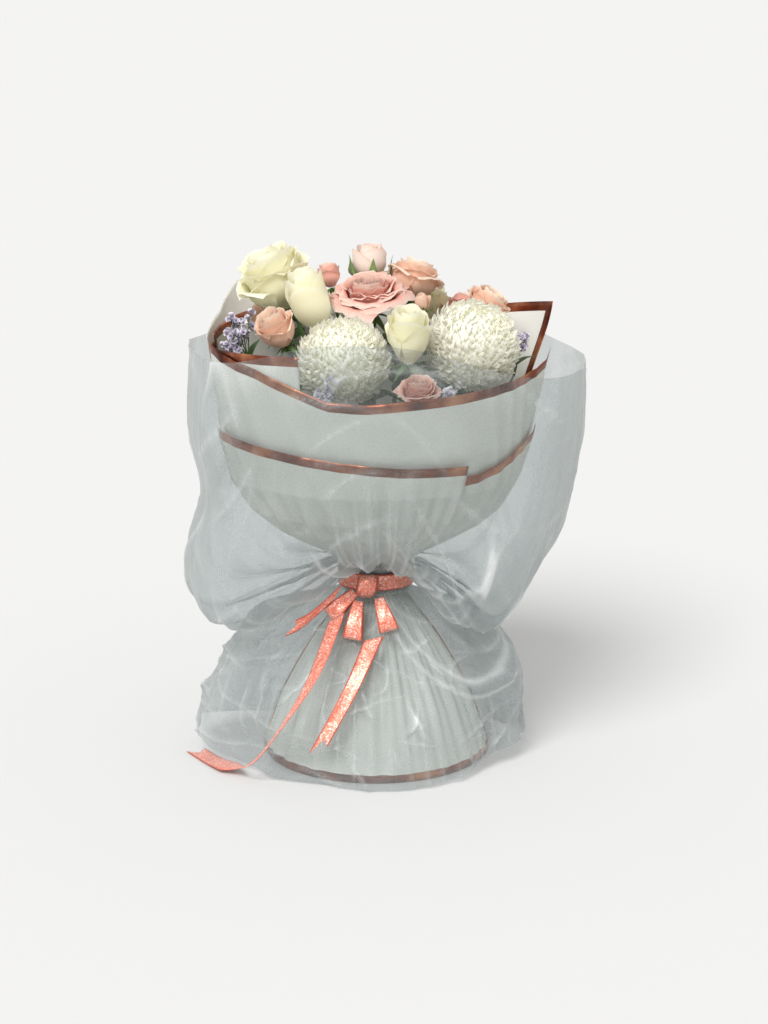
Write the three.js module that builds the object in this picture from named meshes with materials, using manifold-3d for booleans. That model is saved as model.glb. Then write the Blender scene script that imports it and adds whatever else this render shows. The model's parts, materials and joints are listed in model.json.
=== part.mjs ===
// A wrapped rose bouquet: a spiral hand-tied bunch of roses, spray roses, chrysanthemums and sea lavender,
// rolled in foil-edged flower paper and sheer organza, gathered at a waist and tied with a ribbon bow.
// Millimetres, +Z up, front towards -Y. The model is laid out about the tie axis, and the finished group is
// then moved so that the origin is at the bottom centre of its bounding box.
import * as THREE from "three";
import { mergeVertices } from "three/addons/utils/BufferGeometryUtils.js";
import Module from "manifold-3d";

const wasm = await Module();
wasm.setup();

// ---- driving dimensions ----
const TIE_HEIGHT = 183; // height of the waist above the floor
const SPIRAL = 45; // height over which the spiral of stems turns by an eighth
const LARGEST_SLOT = 16; // radius of the ring on which the outermost stems cross at the waist
const BINDING = { radius: 21.1, wire: 1.2, turns: 3 }; // twine round the stems
const WAIST = 22.8; // radius of the innermost sheet where it is tied
const PAPER = 0.6; // thickness of the paper sheets
const ORGANZA = 0.6; // thickness of the gauze, with its folds
const RIBBON = { width: 20, thickness: 0.8 };
const HEM = 12; // width of the turned-under hem that the bouquet stands on
const GAP = 0.35; // clearance between neighbouring pieces

// ---- finishes ----
const finish = (color, roughness = 0.7, metalness = 0) =>
  new THREE.MeshStandardMaterial({ color, roughness, metalness });
const CREAM = finish(0xf0efd2);
const PINK = finish(0xe9a79a);
const PEACH = finish(0xefc0a4);
const BLUSH = finish(0xefd5c8);
const WHITE = finish(0xeef0e0);
const GREEN = finish(0x5f7d3f);
const LILAC = finish(0xaaa2be);
const SHEET = finish(0xe9ebea);
const GAUZE = finish(0xdfe5e4, 0.5);
const SATIN = finish(0xe87f6c, 0.35);
const TWINE = finish(0xc9b38a, 0.9);

const radians = THREE.MathUtils.degToRad;
const vec = (x, y, z) => new THREE.Vector3(x, y, z);
const mix = THREE.MathUtils.lerp;
const ease = THREE.MathUtils.smoothstep;

// ---- solids ----
function solidOf(geometry) {
  const bare = geometry.index ? geometry.toNonIndexed() : geometry.clone();
  bare.deleteAttribute("normal");
  bare.deleteAttribute("uv");
  const merged = mergeVertices(bare, 1e-4);
  const solid = new wasm.Manifold(
    new wasm.Mesh({
      numProp: 3,
      vertProperties: merged.attributes.position.array,
      triVerts: new Uint32Array(merged.index.array),
    }),
  );
  return solid;
}

function geometryOf(solid) {
  const mesh = solid.getMesh();
  const positions = new Float32Array(mesh.numVert * 3);
  for (let i = 0; i < mesh.numVert; i++) {
    positions.set(mesh.vertProperties.subarray(i * mesh.numProp, i * mesh.numProp + 3), i * 3);
  }
  const geometry = new THREE.BufferGeometry();
  geometry.setAttribute("position", new THREE.BufferAttribute(positions, 3));
  geometry.setIndex(new THREE.BufferAttribute(mesh.triVerts, 1));
  return geometry;
}

const joined = (geometries) =>
  geometryOf(geometries.map(solidOf).reduce((sum, solid) => sum.add(solid)));

// Everything of a geometry that lies above the floor.
function aboveFloor(geometry) {
  const ground = new THREE.BoxGeometry(2000, 2000, 400).translate(0, 0, -200);
  return geometryOf(solidOf(geometry).subtract(solidOf(ground)));
}

// A closed thin sheet about the surface point(u, v), with u and v from 0 to 1. Rings join up in u.
function sheet(point, { across, along, thickness, ring = false }) {
  const columns = ring ? across : across + 1;
  const rows = along + 1;
  const at = (i, j) => point(i / across, j / along);
  const sides = [[], []];
  for (let j = 0; j < rows; j++) {
    for (let i = 0; i < columns; i++) {
      const right = ring ? at((i + 1) % across, j) : at(Math.min(i + 1, across), j);
      const left = ring ? at((i - 1 + across) % across, j) : at(Math.max(i - 1, 0), j);
      const up = at(i, Math.min(j + 1, along)).sub(at(i, Math.max(j - 1, 0)));
      const normal = right.sub(left).cross(up).normalize();
      sides[0].push(at(i, j).addScaledVector(normal, thickness / 2));
      sides[1].push(at(i, j).addScaledVector(normal, -thickness / 2));
    }
  }
  const vertices = [...sides[0], ...sides[1]];
  const outer = (i, j) => j * columns + (i % columns);
  const inner = (i, j) => rows * columns + outer(i, j);
  const faces = [];
  const quad = (a, b, c, d) => faces.push(a, b, c, a, c, d);
  const spans = ring ? columns : columns - 1;
  for (let j = 0; j < along; j++) {
    for (let i = 0; i < spans; i++) {
      quad(outer(i, j), outer(i + 1, j), outer(i + 1, j + 1), outer(i, j + 1));
      quad(inner(i, j), inner(i, j + 1), inner(i + 1, j + 1), inner(i + 1, j));
    }
  }
  for (let i = 0; i < spans; i++) {
    quad(outer(i, 0), inner(i, 0), inner(i + 1, 0), outer(i + 1, 0));
    quad(outer(i, along), outer(i + 1, along), inner(i + 1, along), inner(i, along));
  }
  for (let j = 0; !ring && j < along; j++) {
    quad(outer(0, j), outer(0, j + 1), inner(0, j + 1), inner(0, j));
    quad(outer(across, j), inner(across, j), inner(across, j + 1), outer(across, j + 1));
  }
  const geometry = new THREE.BufferGeometry().setFromPoints(vertices);
  geometry.setIndex(faces);
  return geometry;
}

// A round rod along a curve.
function rod(curve, radius, steps, sides = 6) {
  const outline = new THREE.Shape();
  for (let k = 0; k < sides; k++) {
    const turn = (2 * Math.PI * k) / sides;
    const corner = [radius * Math.cos(turn), radius * Math.sin(turn)];
    if (k) outline.lineTo(...corner);
    else outline.moveTo(...corner);
  }
  return new THREE.ExtrudeGeometry(outline, { extrudePath: curve, steps, bevelEnabled: false });
}

function blob(centre, radii, detail = 0) {
  return new THREE.IcosahedronGeometry(1, detail).scale(...radii).translate(...centre.toArray());
}

const parts = new THREE.Group();
function piece(name, geometry, material, place = null) {
  const mesh = new THREE.Mesh(geometry, material);
  mesh.name = name;
  if (place) {
    mesh.position.copy(place.at);
    mesh.quaternion.setFromUnitVectors(vec(0, 1, 0), place.axis);
  }
  parts.add(mesh);
  return mesh;
}

// ---- flowers ----
// head is the middle of the bloom, facing the direction that it opens to, radius and height its size.
const FLOWERS = [
  { name: "cream_rose_left", kind: "rose", tint: CREAM, head: [-96, 36, 473], facing: [-0.45, -0.1, 0.88], radius: 36, height: 62 },
  { name: "cream_rose_profile", kind: "rose", tint: CREAM, head: [-61, -15, 462], facing: [-0.32, -0.1, 0.94], radius: 23, height: 62 },
  { name: "cream_rose_centre", kind: "rose", tint: CREAM, head: [30, -84, 440], facing: [0.02, -0.25, 0.97], radius: 22, height: 56 },
  { name: "cream_rose_back", kind: "rose", tint: CREAM, head: [42, 92, 441], facing: [0.1, 0.4, 0.9], radius: 28, height: 50 },
  { name: "pink_rose_open", kind: "rose", tint: PINK, head: [-7, 7, 462], facing: [-0.08, -0.28, 0.96], radius: 33, height: 36 },
  { name: "pink_rose_blush", kind: "rose", tint: PEACH, head: [36, 46, 472], facing: [0.3, 0.22, 0.93], radius: 26, height: 38 },
  { name: "pink_rose_right", kind: "rose", tint: PEACH, head: [107, 26, 446], facing: [0.55, -0.1, 0.83], radius: 23, height: 38 },
  { name: "pink_rose_left", kind: "rose", tint: PEACH, head: [-93, -47, 438], facing: [-0.45, -0.3, 0.84], radius: 20, height: 38 },
  { name: "pink_rose_front", kind: "rose", tint: PINK, head: [40, -104, 388], facing: [0.0, -0.35, 0.93], radius: 18, height: 30 },
  { name: "pink_rose_small", kind: "rose", tint: PINK, head: [-46, 46, 477], facing: [-0.2, 0.1, 0.97], radius: 13, height: 24 },
  { name: "pink_rose_back_right", kind: "rose", tint: PINK, head: [90, 68, 433], facing: [0.4, 0.4, 0.82], radius: 23, height: 36 },
  { name: "pink_rose_back_left", kind: "rose", tint: PEACH, head: [-107, 70, 430], facing: [-0.5, 0.35, 0.8], radius: 17, height: 34 },
  { name: "blush_bud_top", kind: "bud", tint: BLUSH, head: [-6, 56, 489], facing: [0.03, -0.05, 1.0], radius: 20, height: 35 },
  { name: "peach_bud_middle", kind: "bud", tint: PEACH, head: [45, -4, 458], facing: [0.1, -0.2, 0.97], radius: 9, height: 18 },
  { name: "chrysanthemum_left", kind: "mum", tint: WHITE, head: [-31, -62, 410], facing: [-0.15, -0.5, 0.85], radius: 47, height: 88 },
  { name: "chrysanthemum_right", kind: "mum", tint: WHITE, head: [93, -43, 423], facing: [0.25, -0.5, 0.83], radius: 48, height: 90 },
  { name: "chrysanthemum_back", kind: "mum", tint: WHITE, head: [-34, 92, 426], facing: [-0.15, 0.45, 0.88], radius: 38, height: 72 },
];

// Each profile is [share of the radius, share of the height], from the foot of the bloom to its middle.
const PROFILES = {
  rose: [[0, 0], [0.45, 0.03], [0.85, 0.25], [1, 0.62], [0.93, 0.9], [0.72, 0.78], [0.6, 0.97], [0.36, 0.84], [0, 1]],
  bud: [[0, 0], [0.5, 0.04], [0.95, 0.3], [1, 0.5], [0.72, 0.82], [0.34, 0.98], [0, 1]],
  mum: [[0, 0], [0.4, 0.01], [0.78, 0.14], [0.98, 0.38], [1, 0.56], [0.86, 0.78], [0.5, 0.95], [0, 1]],
};
const LOBES = { rose: [5, 0.06, 13], bud: [5, 0.03, 10], mum: [9, 0.035, 14] }; // petals round, depth, facets

// A bloom of revolution along +Y whose outline swells at each petal, a little further round at each level.
function bloom({ kind, radius, height }) {
  const [petals, depth, facets] = LOBES[kind];
  const outline = PROFILES[kind].map(([r, y]) => new THREE.Vector2(r * radius, (y - 0.5) * height));
  const geometry = new THREE.LatheGeometry(outline, facets);
  const position = geometry.attributes.position;
  for (let i = 0; i < position.count; i++) {
    const [x, y, z] = [position.getX(i), position.getY(i), position.getZ(i)];
    const level = Math.round((y / height + 0.5) * 7);
    const swell = 1 + depth * Math.cos(petals * Math.atan2(z, x) + level * Math.PI);
    position.setXYZ(i, x * swell, y, z * swell);
  }
  return geometryOf(solidOf(geometry));
}

// The places at the waist where the stems cross: the plan of the heads turned back and drawn together, then
// pushed apart until no two are nearer than the stems are thick.
function slotsOf(stems) {
  const slots = stems.map(({ head }) => {
    const turn = Math.atan2(head[1], head[0]) - Math.atan(250 / SPIRAL);
    const reach = Math.min(LARGEST_SLOT, Math.hypot(head[0], head[1]) / 7);
    return new THREE.Vector2(reach * Math.cos(turn), reach * Math.sin(turn));
  });
  for (let round = 0; round < 400; round++) {
    slots.forEach((slot, i) => {
      for (let j = i + 1; j < slots.length; j++) {
        const apart = slot.clone().sub(slots[j]);
        const short = 1.08 * (stems[i].thickness + stems[j].thickness) + GAP - apart.length();
        if (short <= 0) continue;
        apart.setLength(short / 2);
        slot.add(apart);
        slots[j].sub(apart);
      }
    });
    slots.forEach((slot) => slot.clampLength(0, LARGEST_SLOT));
  }
  return slots.map((slot) => ({ radius: slot.length(), turn: slot.angle() }));
}

// A straight stem of the spiral at a height above or below the waist.
function spiralPoint({ radius, turn }, rise) {
  const spread = radius * Math.hypot(1, rise / SPIRAL);
  const angle = turn + Math.atan(rise / SPIRAL);
  return vec(spread * Math.cos(angle), spread * Math.sin(angle), TIE_HEIGHT + rise);
}

// From below the floor along the spiral, then bent over to come up into the foot of the head.
function stemCurve(foot, axis, slot, straight = 95) {
  const low = spiralPoint(slot, -TIE_HEIGHT - 8);
  const bend = spiralPoint(slot, straight);
  const along = bend.clone().sub(low).normalize();
  const reach = foot.distanceTo(bend);
  const upper = new THREE.CubicBezierCurve3(
    bend,
    bend.clone().addScaledVector(along, reach * 0.4),
    foot.clone().addScaledVector(axis, -reach * 0.3),
    foot,
  );
  const points = [low, spiralPoint(slot, 0), bend];
  for (const t of [0.2, 0.4, 0.6, 0.8, 1]) points.push(upper.getPoint(t));
  return new THREE.CatmullRomCurve3(points, false, "centripetal");
}

// Five pointed sepals and the swollen receptacle under a rose.
function calyx(foot, axis, size) {
  const hip = blob(vec(0, -size * 0.3, 0), [size * 0.34, size * 0.32, size * 0.34]);
  const blades = [0, 1, 2, 3, 4].map((k) => {
    const blade = new THREE.ConeGeometry(size * 0.17, size * 1.25, 4).scale(1, 1, 0.3);
    blade.rotateX(radians(62)).translate(0, -size * 0.18, size * 0.62);
    return blade.rotateY(radians(72 * k + 20));
  });
  const turn = new THREE.Quaternion().setFromUnitVectors(vec(0, 1, 0), axis);
  return [hip, ...blades].map((part) => part.applyQuaternion(turn).translate(...foot.toArray()));
}

// ---- sea lavender ----
// head is where the branches part, facing their middle direction; each sprig carries its branches' spread and
// reach, and leaves where they are seen.
const SPRIGS = [
  { name: "sea_lavender_left", head: [-124, -14, 402], facing: [-0.5, -0.15, 0.85], branches: 9, spread: 34, reach: 42, leaves: 3 },
  { name: "sea_lavender_front_left", head: [-47, -108, 366], facing: [-0.1, -0.3, 0.95], branches: 4, spread: 26, reach: 34, leaves: 0 },
  { name: "sea_lavender_front", head: [64, -103, 362], facing: [0.15, -0.1, 0.98], branches: 3, spread: 16, reach: 30, leaves: 0 },
  { name: "sea_lavender_right", head: [138, -4, 396], facing: [0.1, 0.1, 0.98], branches: 4, spread: 20, reach: 30, leaves: 2 },
  { name: "sea_lavender_back", head: [74, 100, 398], facing: [0.05, 0.2, 0.97], branches: 5, spread: 20, reach: 34, leaves: 1 },
  { name: "sea_lavender_back_left", head: [-86, 92, 404], facing: [-0.2, 0.25, 0.95], branches: 4, spread: 18, reach: 34, leaves: 1 },
];

function sprig({ branches, spread, reach, leaves }) {
  const pieces = [];
  for (let k = 0; k < branches; k++) {
    const round = radians(137.5 * k);
    const lean = radians(spread) * Math.sqrt((k + 0.5) / branches);
    const out = vec(Math.sin(lean) * Math.cos(round), Math.cos(lean), Math.sin(lean) * Math.sin(round));
    const tip = out.clone().multiplyScalar(reach * (0.8 + 0.2 * Math.cos(2.4 * k)));
    pieces.push(rod(new THREE.LineCurve3(out.clone().multiplyScalar(-1.5), tip), 0.9, 1, 3));
    pieces.push(new THREE.OctahedronGeometry(1).scale(5.2, 4.2, 5.2).translate(...tip.toArray()));
  }
  for (let k = 0; k < leaves; k++) {
    const leaf = new THREE.OctahedronGeometry(1).scale(5.5, 15, 0.8).translate(0, 13.5, 0);
    pieces.push(leaf.rotateX(radians(52)).rotateY(radians(120 * k + 40)));
  }
  return pieces;
}

const stems = [
  ...FLOWERS.map((flower) => ({ ...flower, thickness: flower.kind === "mum" ? 3 : flower.radius > 20 ? 2.6 : 2 })),
  ...SPRIGS.map((spray) => ({ ...spray, kind: "sprig", thickness: 1.5 })),
];
const slots = slotsOf(stems);
stems.forEach((plant, index) => {
  const head = vec(...plant.head);
  const axis = vec(...plant.facing).normalize();
  const turn = new THREE.Quaternion().setFromUnitVectors(vec(0, 1, 0), axis);
  const green = [];
  let top = head;
  if (plant.kind === "sprig") {
    green.push(...sprig(plant).map((part) => part.applyQuaternion(turn).translate(...plant.head)));
  } else {
    piece(`${plant.name}_petals`, bloom(plant), plant.tint, { at: head, axis });
    const foot = head.clone().addScaledVector(axis, -plant.height / 2 - GAP);
    top = foot.clone().addScaledVector(axis, -1.2);
    if (plant.kind === "mum") green.push(blob(top.clone().addScaledVector(axis, -3.4), [7, 7, 4]));
    else green.push(...calyx(foot, axis, Math.min(16, plant.radius * 0.62)));
  }
  const stem = rod(stemCurve(top, axis, slots[index]), plant.thickness, 10, 5);
  const [name, tint] = plant.kind === "sprig" ? [plant.name, LILAC] : [`${plant.name}_stem`, GREEN];
  piece(name, aboveFloor(joined([stem, ...green])), tint);
});

const coils = new THREE.TorusGeometry(BINDING.radius, BINDING.wire, 6, 20);
piece("binding_twine", coils.scale(1, 1, BINDING.turns).translate(0, 0, TIE_HEIGHT), TWINE);

// ---- wrapping ----
// Half the width of the innermost sheet at each height: the spread foot, the waist, and the bowl.
const BOWL = [
  [0, 110], [4, 112], [30, 103], [60, 92], [90, 76], [120, 58], [148, 38], [168, 25], [TIE_HEIGHT, WAIST], [198, 27],
  [212, 45], [225, 70], [240, 95], [258, 115], [290, 136], [330, 148], [380, 155], [440, 161], [480, 165],
];
const between = (table, x) => {
  const k = Math.max(1, table.findIndex(([at]) => at >= x));
  const [[x0, y0], [x1, y1]] = [table[k - 1], table[k]];
  return mix(y0, y1, THREE.MathUtils.clamp((x - x0) / (x1 - x0), 0, 1));
};

// Distance of a sheet from the axis. Sheets are numbered outward, and lie closer together below the waist.
function wrapRadius(azimuth, z, layer) {
  const side = between(BOWL, z);
  const front = side * mix(1, 0.86, ease(z, 198, 258));
  const apart = mix(1.3, 2.2, ease(z, 205, 270));
  return 1 / Math.hypot(Math.cos(azimuth) / side, Math.sin(azimuth) / front) + layer * apart;
}
const around = (azimuth, radius, z) => vec(radius * Math.cos(azimuth), radius * Math.sin(azimuth), z);

// edge is the height of the upper edge against azimuth, flare how far the sheet leans out beside its corner.
const PAPERS = [
  { name: "paper_back", layer: 0, through: true, edge: [[15, 451], [36, 441], [90, 436], [135, 438], [180, 428]], flare: [15, 24] },
  { name: "paper_inner_left", layer: 1, edge: [[165, 415], [180, 418], [214, 423], [240, 427]], flare: [240, 0] },
  { name: "paper_front", layer: 2, through: true, edge: [[181, 429], [195, 423], [221, 410], [252, 386], [267, 384], [300, 390], [330, 396], [345, 404], [359, 414]], flare: [359, 9] },
  { name: "paper_back_left", layer: 3, edge: [[105, 425], [148, 467], [160, 440], [180, 425]], flare: [150, 3] },
  { name: "paper_wrap_right", layer: 4, edge: [[270, 311], [300, 307], [315, 309], [328, 316], [352, 342]], flare: [352, 0] },
  { name: "paper_wrap_left", layer: 5, edge: [[195, 342], [239, 332], [280, 322], [308, 320]], flare: [195, 0] },
];
for (const { name, layer, through, edge, flare } of PAPERS) {
  const [first, last] = [edge[0][0], edge[edge.length - 1][0]];
  const lowest = Math.min(...edge.map(([, z]) => z));
  const levels = BOWL.map(([z]) => z).filter((z) => z < lowest - 12 && (through || z > 160));
  const shoulder = levels[levels.length - 1];
  const columns = Math.ceil((last - first) / 15);
  const hem = through ? 2 : 0; // rows of the turned-under hem
  const rows = hem + levels.length + 3;
  const point = (u, v) => {
    const degrees = Math.min(last, Math.max(first, Math.floor(first / 15) * 15 + 15 * Math.round(u * columns)));
    const row = Math.round(v * (rows - 1));
    const azimuth = radians(degrees);
    if (row < hem) return around(azimuth, wrapRadius(azimuth, 0, layer) - HEM * (1 - row / hem), PAPER / 2);
    const step = row - hem;
    const z = step < levels.length
      ? Math.max(PAPER / 2, levels[step])
      : mix(shoulder, between(edge, degrees), (step - levels.length + 1) / 3);
    const near = Math.max(0, Math.cos(radians(degrees - flare[0])));
    const lean = flare[1] * near ** 12 * ease(z, 330, 450);
    return around(azimuth, wrapRadius(azimuth, z, layer) + lean, z);
  };
  piece(name, sheet(point, { across: columns, along: rows - 1, thickness: PAPER }), SHEET);
}

// The outer gauze runs from under the ribbon out to the rim. In front and behind it rises along the paper; at
// the two sides it first sags below the waist. Each profile is [distance from the axis, height].
const VEIL = [
  {
    azimuth: -90,
    sharp: 6,
    profile: [[35.4, 171], [35.2, 194], [48, 203], [90, 217], [124, 248], [146, 300], [152, 352], [152, 400], [150, 443]],
  },
  {
    azimuth: -15,
    sharp: 3,
    profile: [[35.4, 171], [35.2, 194], [48, 192], [86, 166], [118, 138], [143, 160], [177, 230], [194, 318], [201, 404]],
  },
  {
    azimuth: 90,
    sharp: 2,
    profile: [[35.4, 171], [35.2, 194], [48, 203], [90, 212], [126, 238], [148, 290], [153, 345], [154, 395], [152, 438]],
  },
  {
    azimuth: 185,
    sharp: 3,
    profile: [[35.4, 171], [35.2, 194], [48, 192], [100, 168], [150, 152], [179, 164], [186, 215], [175, 270], [186, 340], [180, 417]],
  },
].map(({ profile, ...rest }) => ({ ...rest, curve: new THREE.SplineCurve(profile.map((p) => new THREE.Vector2(...p))) }));
const veil = (u, v) => {
  const azimuth = 2 * Math.PI * u;
  const spot = new THREE.Vector2();
  let total = 0;
  for (const { azimuth: middle, sharp, curve } of VEIL) {
    const weight = Math.max(0, Math.cos(azimuth - radians(middle))) ** sharp;
    spot.addScaledVector(curve.getPoint(v), weight);
    total += weight;
  }
  return around(azimuth, spot.x / total, spot.y / total);
};
piece("organza_upper", sheet(veil, { across: 30, along: 12, thickness: ORGANZA, ring: true }), GAUZE);

const skirt = (u, v) => {
  const azimuth = 2 * Math.PI * u;
  const toward = (degrees, power) => Math.max(0, Math.cos(azimuth - radians(degrees))) ** power;
  const hem = 1.5 + 24 * toward(180, 8) + 18 * toward(-16, 6);
  const z = mix(hem, 169, Math.min(1, (9 * v) / 8)) + 23 * Math.max(0, 9 * v - 8); // the last row is the collar
  const billow = 6 + 3 * Math.cos(5 * azimuth) + 60 * toward(180, 8) + 20 * toward(-135, 6) * ease(z, 20, 60) + mix(16, 46, ease(z, 10, 100)) * toward(-10, 6);
  return around(azimuth, wrapRadius(azimuth, z, 6) + billow * (1 - ease(z, 140, 170)), z);
};
piece("organza_skirt", sheet(skirt, { across: 24, along: 9, thickness: ORGANZA, ring: true }), GAUZE);

// ---- ribbon ----
const band = (u, v) => around(2 * Math.PI * u, 38, TIE_HEIGHT + RIBBON.width * 0.42 * (2 * v - 1));
piece("ribbon_band", sheet(band, { across: 24, along: 1, thickness: RIBBON.thickness, ring: true }), SATIN);

const knotAt = vec(-9, -49, TIE_HEIGHT);
piece("ribbon_knot", blob(knotAt, [11, 8, 12], 1), SATIN);

// A flat loop of ribbon that leaves the knot, turns at its far end and comes back.
function loop(name, start, out, across, length, belly) {
  const normal = out.clone().cross(across).normalize();
  const point = (u, v) => {
    const turn = 2 * Math.PI * u;
    return start.clone()
      .addScaledVector(out, (length / 2) * (1 - Math.cos(turn)))
      .addScaledVector(normal, belly * Math.sin(turn) * (1.15 - 0.5 * Math.cos(turn)))
      .addScaledVector(across, RIBBON.width * (v - 0.5) * (0.75 - 0.25 * Math.cos(turn)));
  };
  piece(name, sheet(point, { across: 18, along: 1, thickness: RIBBON.thickness, ring: true }), SATIN);
}
loop("ribbon_loop_left", vec(-21, -54, 178), vec(-0.72, -0.16, -0.68).normalize(), vec(-0.6, 0.3, 0.72).normalize(), 34, 6);
loop("ribbon_loop_right", vec(3, -63, 175), vec(0.3, -0.34, -0.9).normalize(), vec(0.96, 0.1, 0.25).normalize(), 34, 6);
loop("ribbon_loop_middle", vec(-17, -64, 172), vec(-0.16, -0.34, -0.93).normalize(), vec(0.97, -0.1, -0.15).normalize(), 38, 6);

// A tail of ribbon through points, each with the direction of its width, ending in a swallow tail.
function tail(name, stops, steps) {
  const path = new THREE.CatmullRomCurve3(stops.map(({ at }) => vec(...at)), false, "centripetal");
  const widths = new THREE.CatmullRomCurve3(stops.map(({ wide }) => vec(...wide)));
  const notch = (0.55 * RIBBON.width) / path.getLength();
  const point = (u, v) => {
    const t = v * (1 - notch * (1 - Math.abs(2 * u - 1)));
    return path.getPoint(t).addScaledVector(widths.getPoint(t).normalize(), RIBBON.width * (u - 0.5));
  };
  piece(name, sheet(point, { across: 2, along: steps, thickness: RIBBON.thickness }), SATIN);
}
tail("ribbon_tail_long", [
  { at: [-38, -70, 158], wide: [0.8, -0.2, 0.5] },
  { at: [-62, -106, 105], wide: [0.75, -0.2, 0.6] },
  { at: [-100, -124, 50], wide: [0.6, -0.3, 0.75] },
  { at: [-128, -108, 16], wide: [0.5, -0.75, 0.4] },
  { at: [-156, -66, 4], wide: [0.75, 0.6, 0.1] },
  { at: [-184, -20, 1.5], wide: [0.85, 0.5, 0] },
], 12);
tail("ribbon_tail_right", [
  { at: [-2, -78, 138], wide: [1, 0.1, 0.2] },
  { at: [-24, -110, 96], wide: [0.95, 0.1, 0.35] },
  { at: [-56, -128, 40], wide: [0.9, -0.1, 0.4] },
], 6);
tail("ribbon_tail_short", [
  { at: [-36, -62, 182], wide: [0.5, 0.1, 0.85] },
  { at: [-66, -76, 158], wide: [0.5, 0.1, 0.85] },
  { at: [-84, -84, 150], wide: [0.55, 0.1, 0.8] },
], 4);

// ---- export ----
parts.updateMatrixWorld(true);
const box = new THREE.Box3().setFromObject(parts);
parts.position.set(-(box.min.x + box.max.x) / 2, -(box.min.y + box.max.y) / 2, -box.min.z);
export default parts;
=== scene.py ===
"""A wrapped rose bouquet that stands on its paper foot.

Cream garden roses, pink and peach spray roses, incurved chrysanthemums and sea lavender are tied in a spiral,
rolled in foil-edged flower paper, wrapped in sheer organza and closed with a glitter ribbon bow.
Lengths are in millimetres about the tie axis until to_row() turns them into the frame's metres.
"""
import json
import math
import random

import bpy
import numpy as np
from mathutils import Matrix, Vector, noise


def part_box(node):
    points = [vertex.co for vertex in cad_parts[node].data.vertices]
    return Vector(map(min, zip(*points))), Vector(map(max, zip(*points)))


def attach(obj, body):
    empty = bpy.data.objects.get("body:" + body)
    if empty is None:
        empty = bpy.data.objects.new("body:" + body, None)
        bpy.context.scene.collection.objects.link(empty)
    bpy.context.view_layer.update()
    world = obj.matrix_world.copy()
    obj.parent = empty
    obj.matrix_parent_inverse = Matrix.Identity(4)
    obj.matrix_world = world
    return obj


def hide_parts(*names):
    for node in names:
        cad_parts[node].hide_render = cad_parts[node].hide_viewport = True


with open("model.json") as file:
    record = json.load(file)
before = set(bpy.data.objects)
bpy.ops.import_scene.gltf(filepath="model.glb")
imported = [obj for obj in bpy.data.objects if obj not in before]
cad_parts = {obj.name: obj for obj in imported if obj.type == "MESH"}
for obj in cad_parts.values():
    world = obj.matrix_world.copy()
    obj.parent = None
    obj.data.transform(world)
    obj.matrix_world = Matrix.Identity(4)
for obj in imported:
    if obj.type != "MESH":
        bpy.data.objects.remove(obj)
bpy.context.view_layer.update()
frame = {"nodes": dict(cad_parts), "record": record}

MM = 0.001
TAU = 2 * math.pi
GOLDEN_TURN = math.radians(137.508)
FRONT = -math.pi / 2

binding_low, binding_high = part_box("binding_twine")
TIE = (binding_low + binding_high) / 2  # the middle of the waist, in metres
TIE_HEIGHT = TIE.z / MM


# ---------------------------------------------------------------- places and small sums
def to_row(points):
    """Points in millimetres about the tie axis, as metres in the frame."""
    return np.asarray(points, dtype=float) * MM + np.array([TIE.x, TIE.y, 0.0])


def from_row(point):
    """A point of the frame, as millimetres about the tie axis."""
    return np.array([(point[0] - TIE.x) / MM, (point[1] - TIE.y) / MM, point[2] / MM])


def ease(x, start, end):
    """0 before start, 1 after end, and a smooth rise between them."""
    t = np.clip((np.asarray(x, dtype=float) - start) / (end - start), 0, 1)
    return t * t * (3 - 2 * t)


def mix(a, b, t):
    return a + (b - a) * t


def spline(stops, t):
    """Points at t, from 0 to 1, on a smooth curve through evenly timed stops."""
    stops = np.asarray(stops, dtype=float)
    padded = np.vstack([2 * stops[0] - stops[1], stops, 2 * stops[-1] - stops[-2]])
    x = np.clip(np.atleast_1d(np.asarray(t, dtype=float)), 0, 1) * (len(stops) - 1)
    k = np.minimum(x.astype(int), len(stops) - 2)
    f = (x - k)[..., None]
    a, b, c, d = (padded[k + i] for i in range(4))
    return 0.5 * (2 * b + (c - a) * f + (2 * a - 5 * b + 4 * c - d) * f**2 + (3 * b - a - 3 * c + d) * f**3)


def ripple(azimuth, height, scale, seed):
    """Smooth noise round the axis, with no seam, from -1 to 1."""
    flat = np.broadcast_arrays(azimuth, height)
    shape = flat[0].shape
    values = [
        noise.noise(Vector((math.cos(a) * scale + seed, math.sin(a) * scale, h * scale)))
        for a, h in zip(flat[0].ravel(), flat[1].ravel())
    ]
    return np.array(values).reshape(shape)


def unit(vector):
    vector = np.asarray(vector, dtype=float)
    return vector / np.linalg.norm(vector)


def turn_to(axis):
    """A 3 by 3 turn that takes +Z to axis."""
    return np.array(Vector((0, 0, 1)).rotation_difference(Vector(axis)).to_matrix())


# ---------------------------------------------------------------- camera
VIEW_ELEVATION = math.radians(14.5)
VIEW_DISTANCE = 2.4
FRAME_HEIGHT = 1.024  # metres that the picture's height spans at the object
AIM = Vector((TIE.x + 0.008, TIE.y, 0.246))

camera = bpy.data.objects.new("camera", bpy.data.cameras.new("camera"))
bpy.context.scene.collection.objects.link(camera)
toward = Vector((0, -math.cos(VIEW_ELEVATION), math.sin(VIEW_ELEVATION)))
camera.location = AIM + toward * VIEW_DISTANCE
camera.rotation_euler = (-toward).to_track_quat("-Z", "Y").to_euler()
camera.data.sensor_width = 36
camera.data.lens = camera.data.sensor_width * VIEW_DISTANCE / FRAME_HEIGHT
bpy.context.scene.camera = camera
bpy.context.scene.view_settings.view_transform = "Standard"


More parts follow.
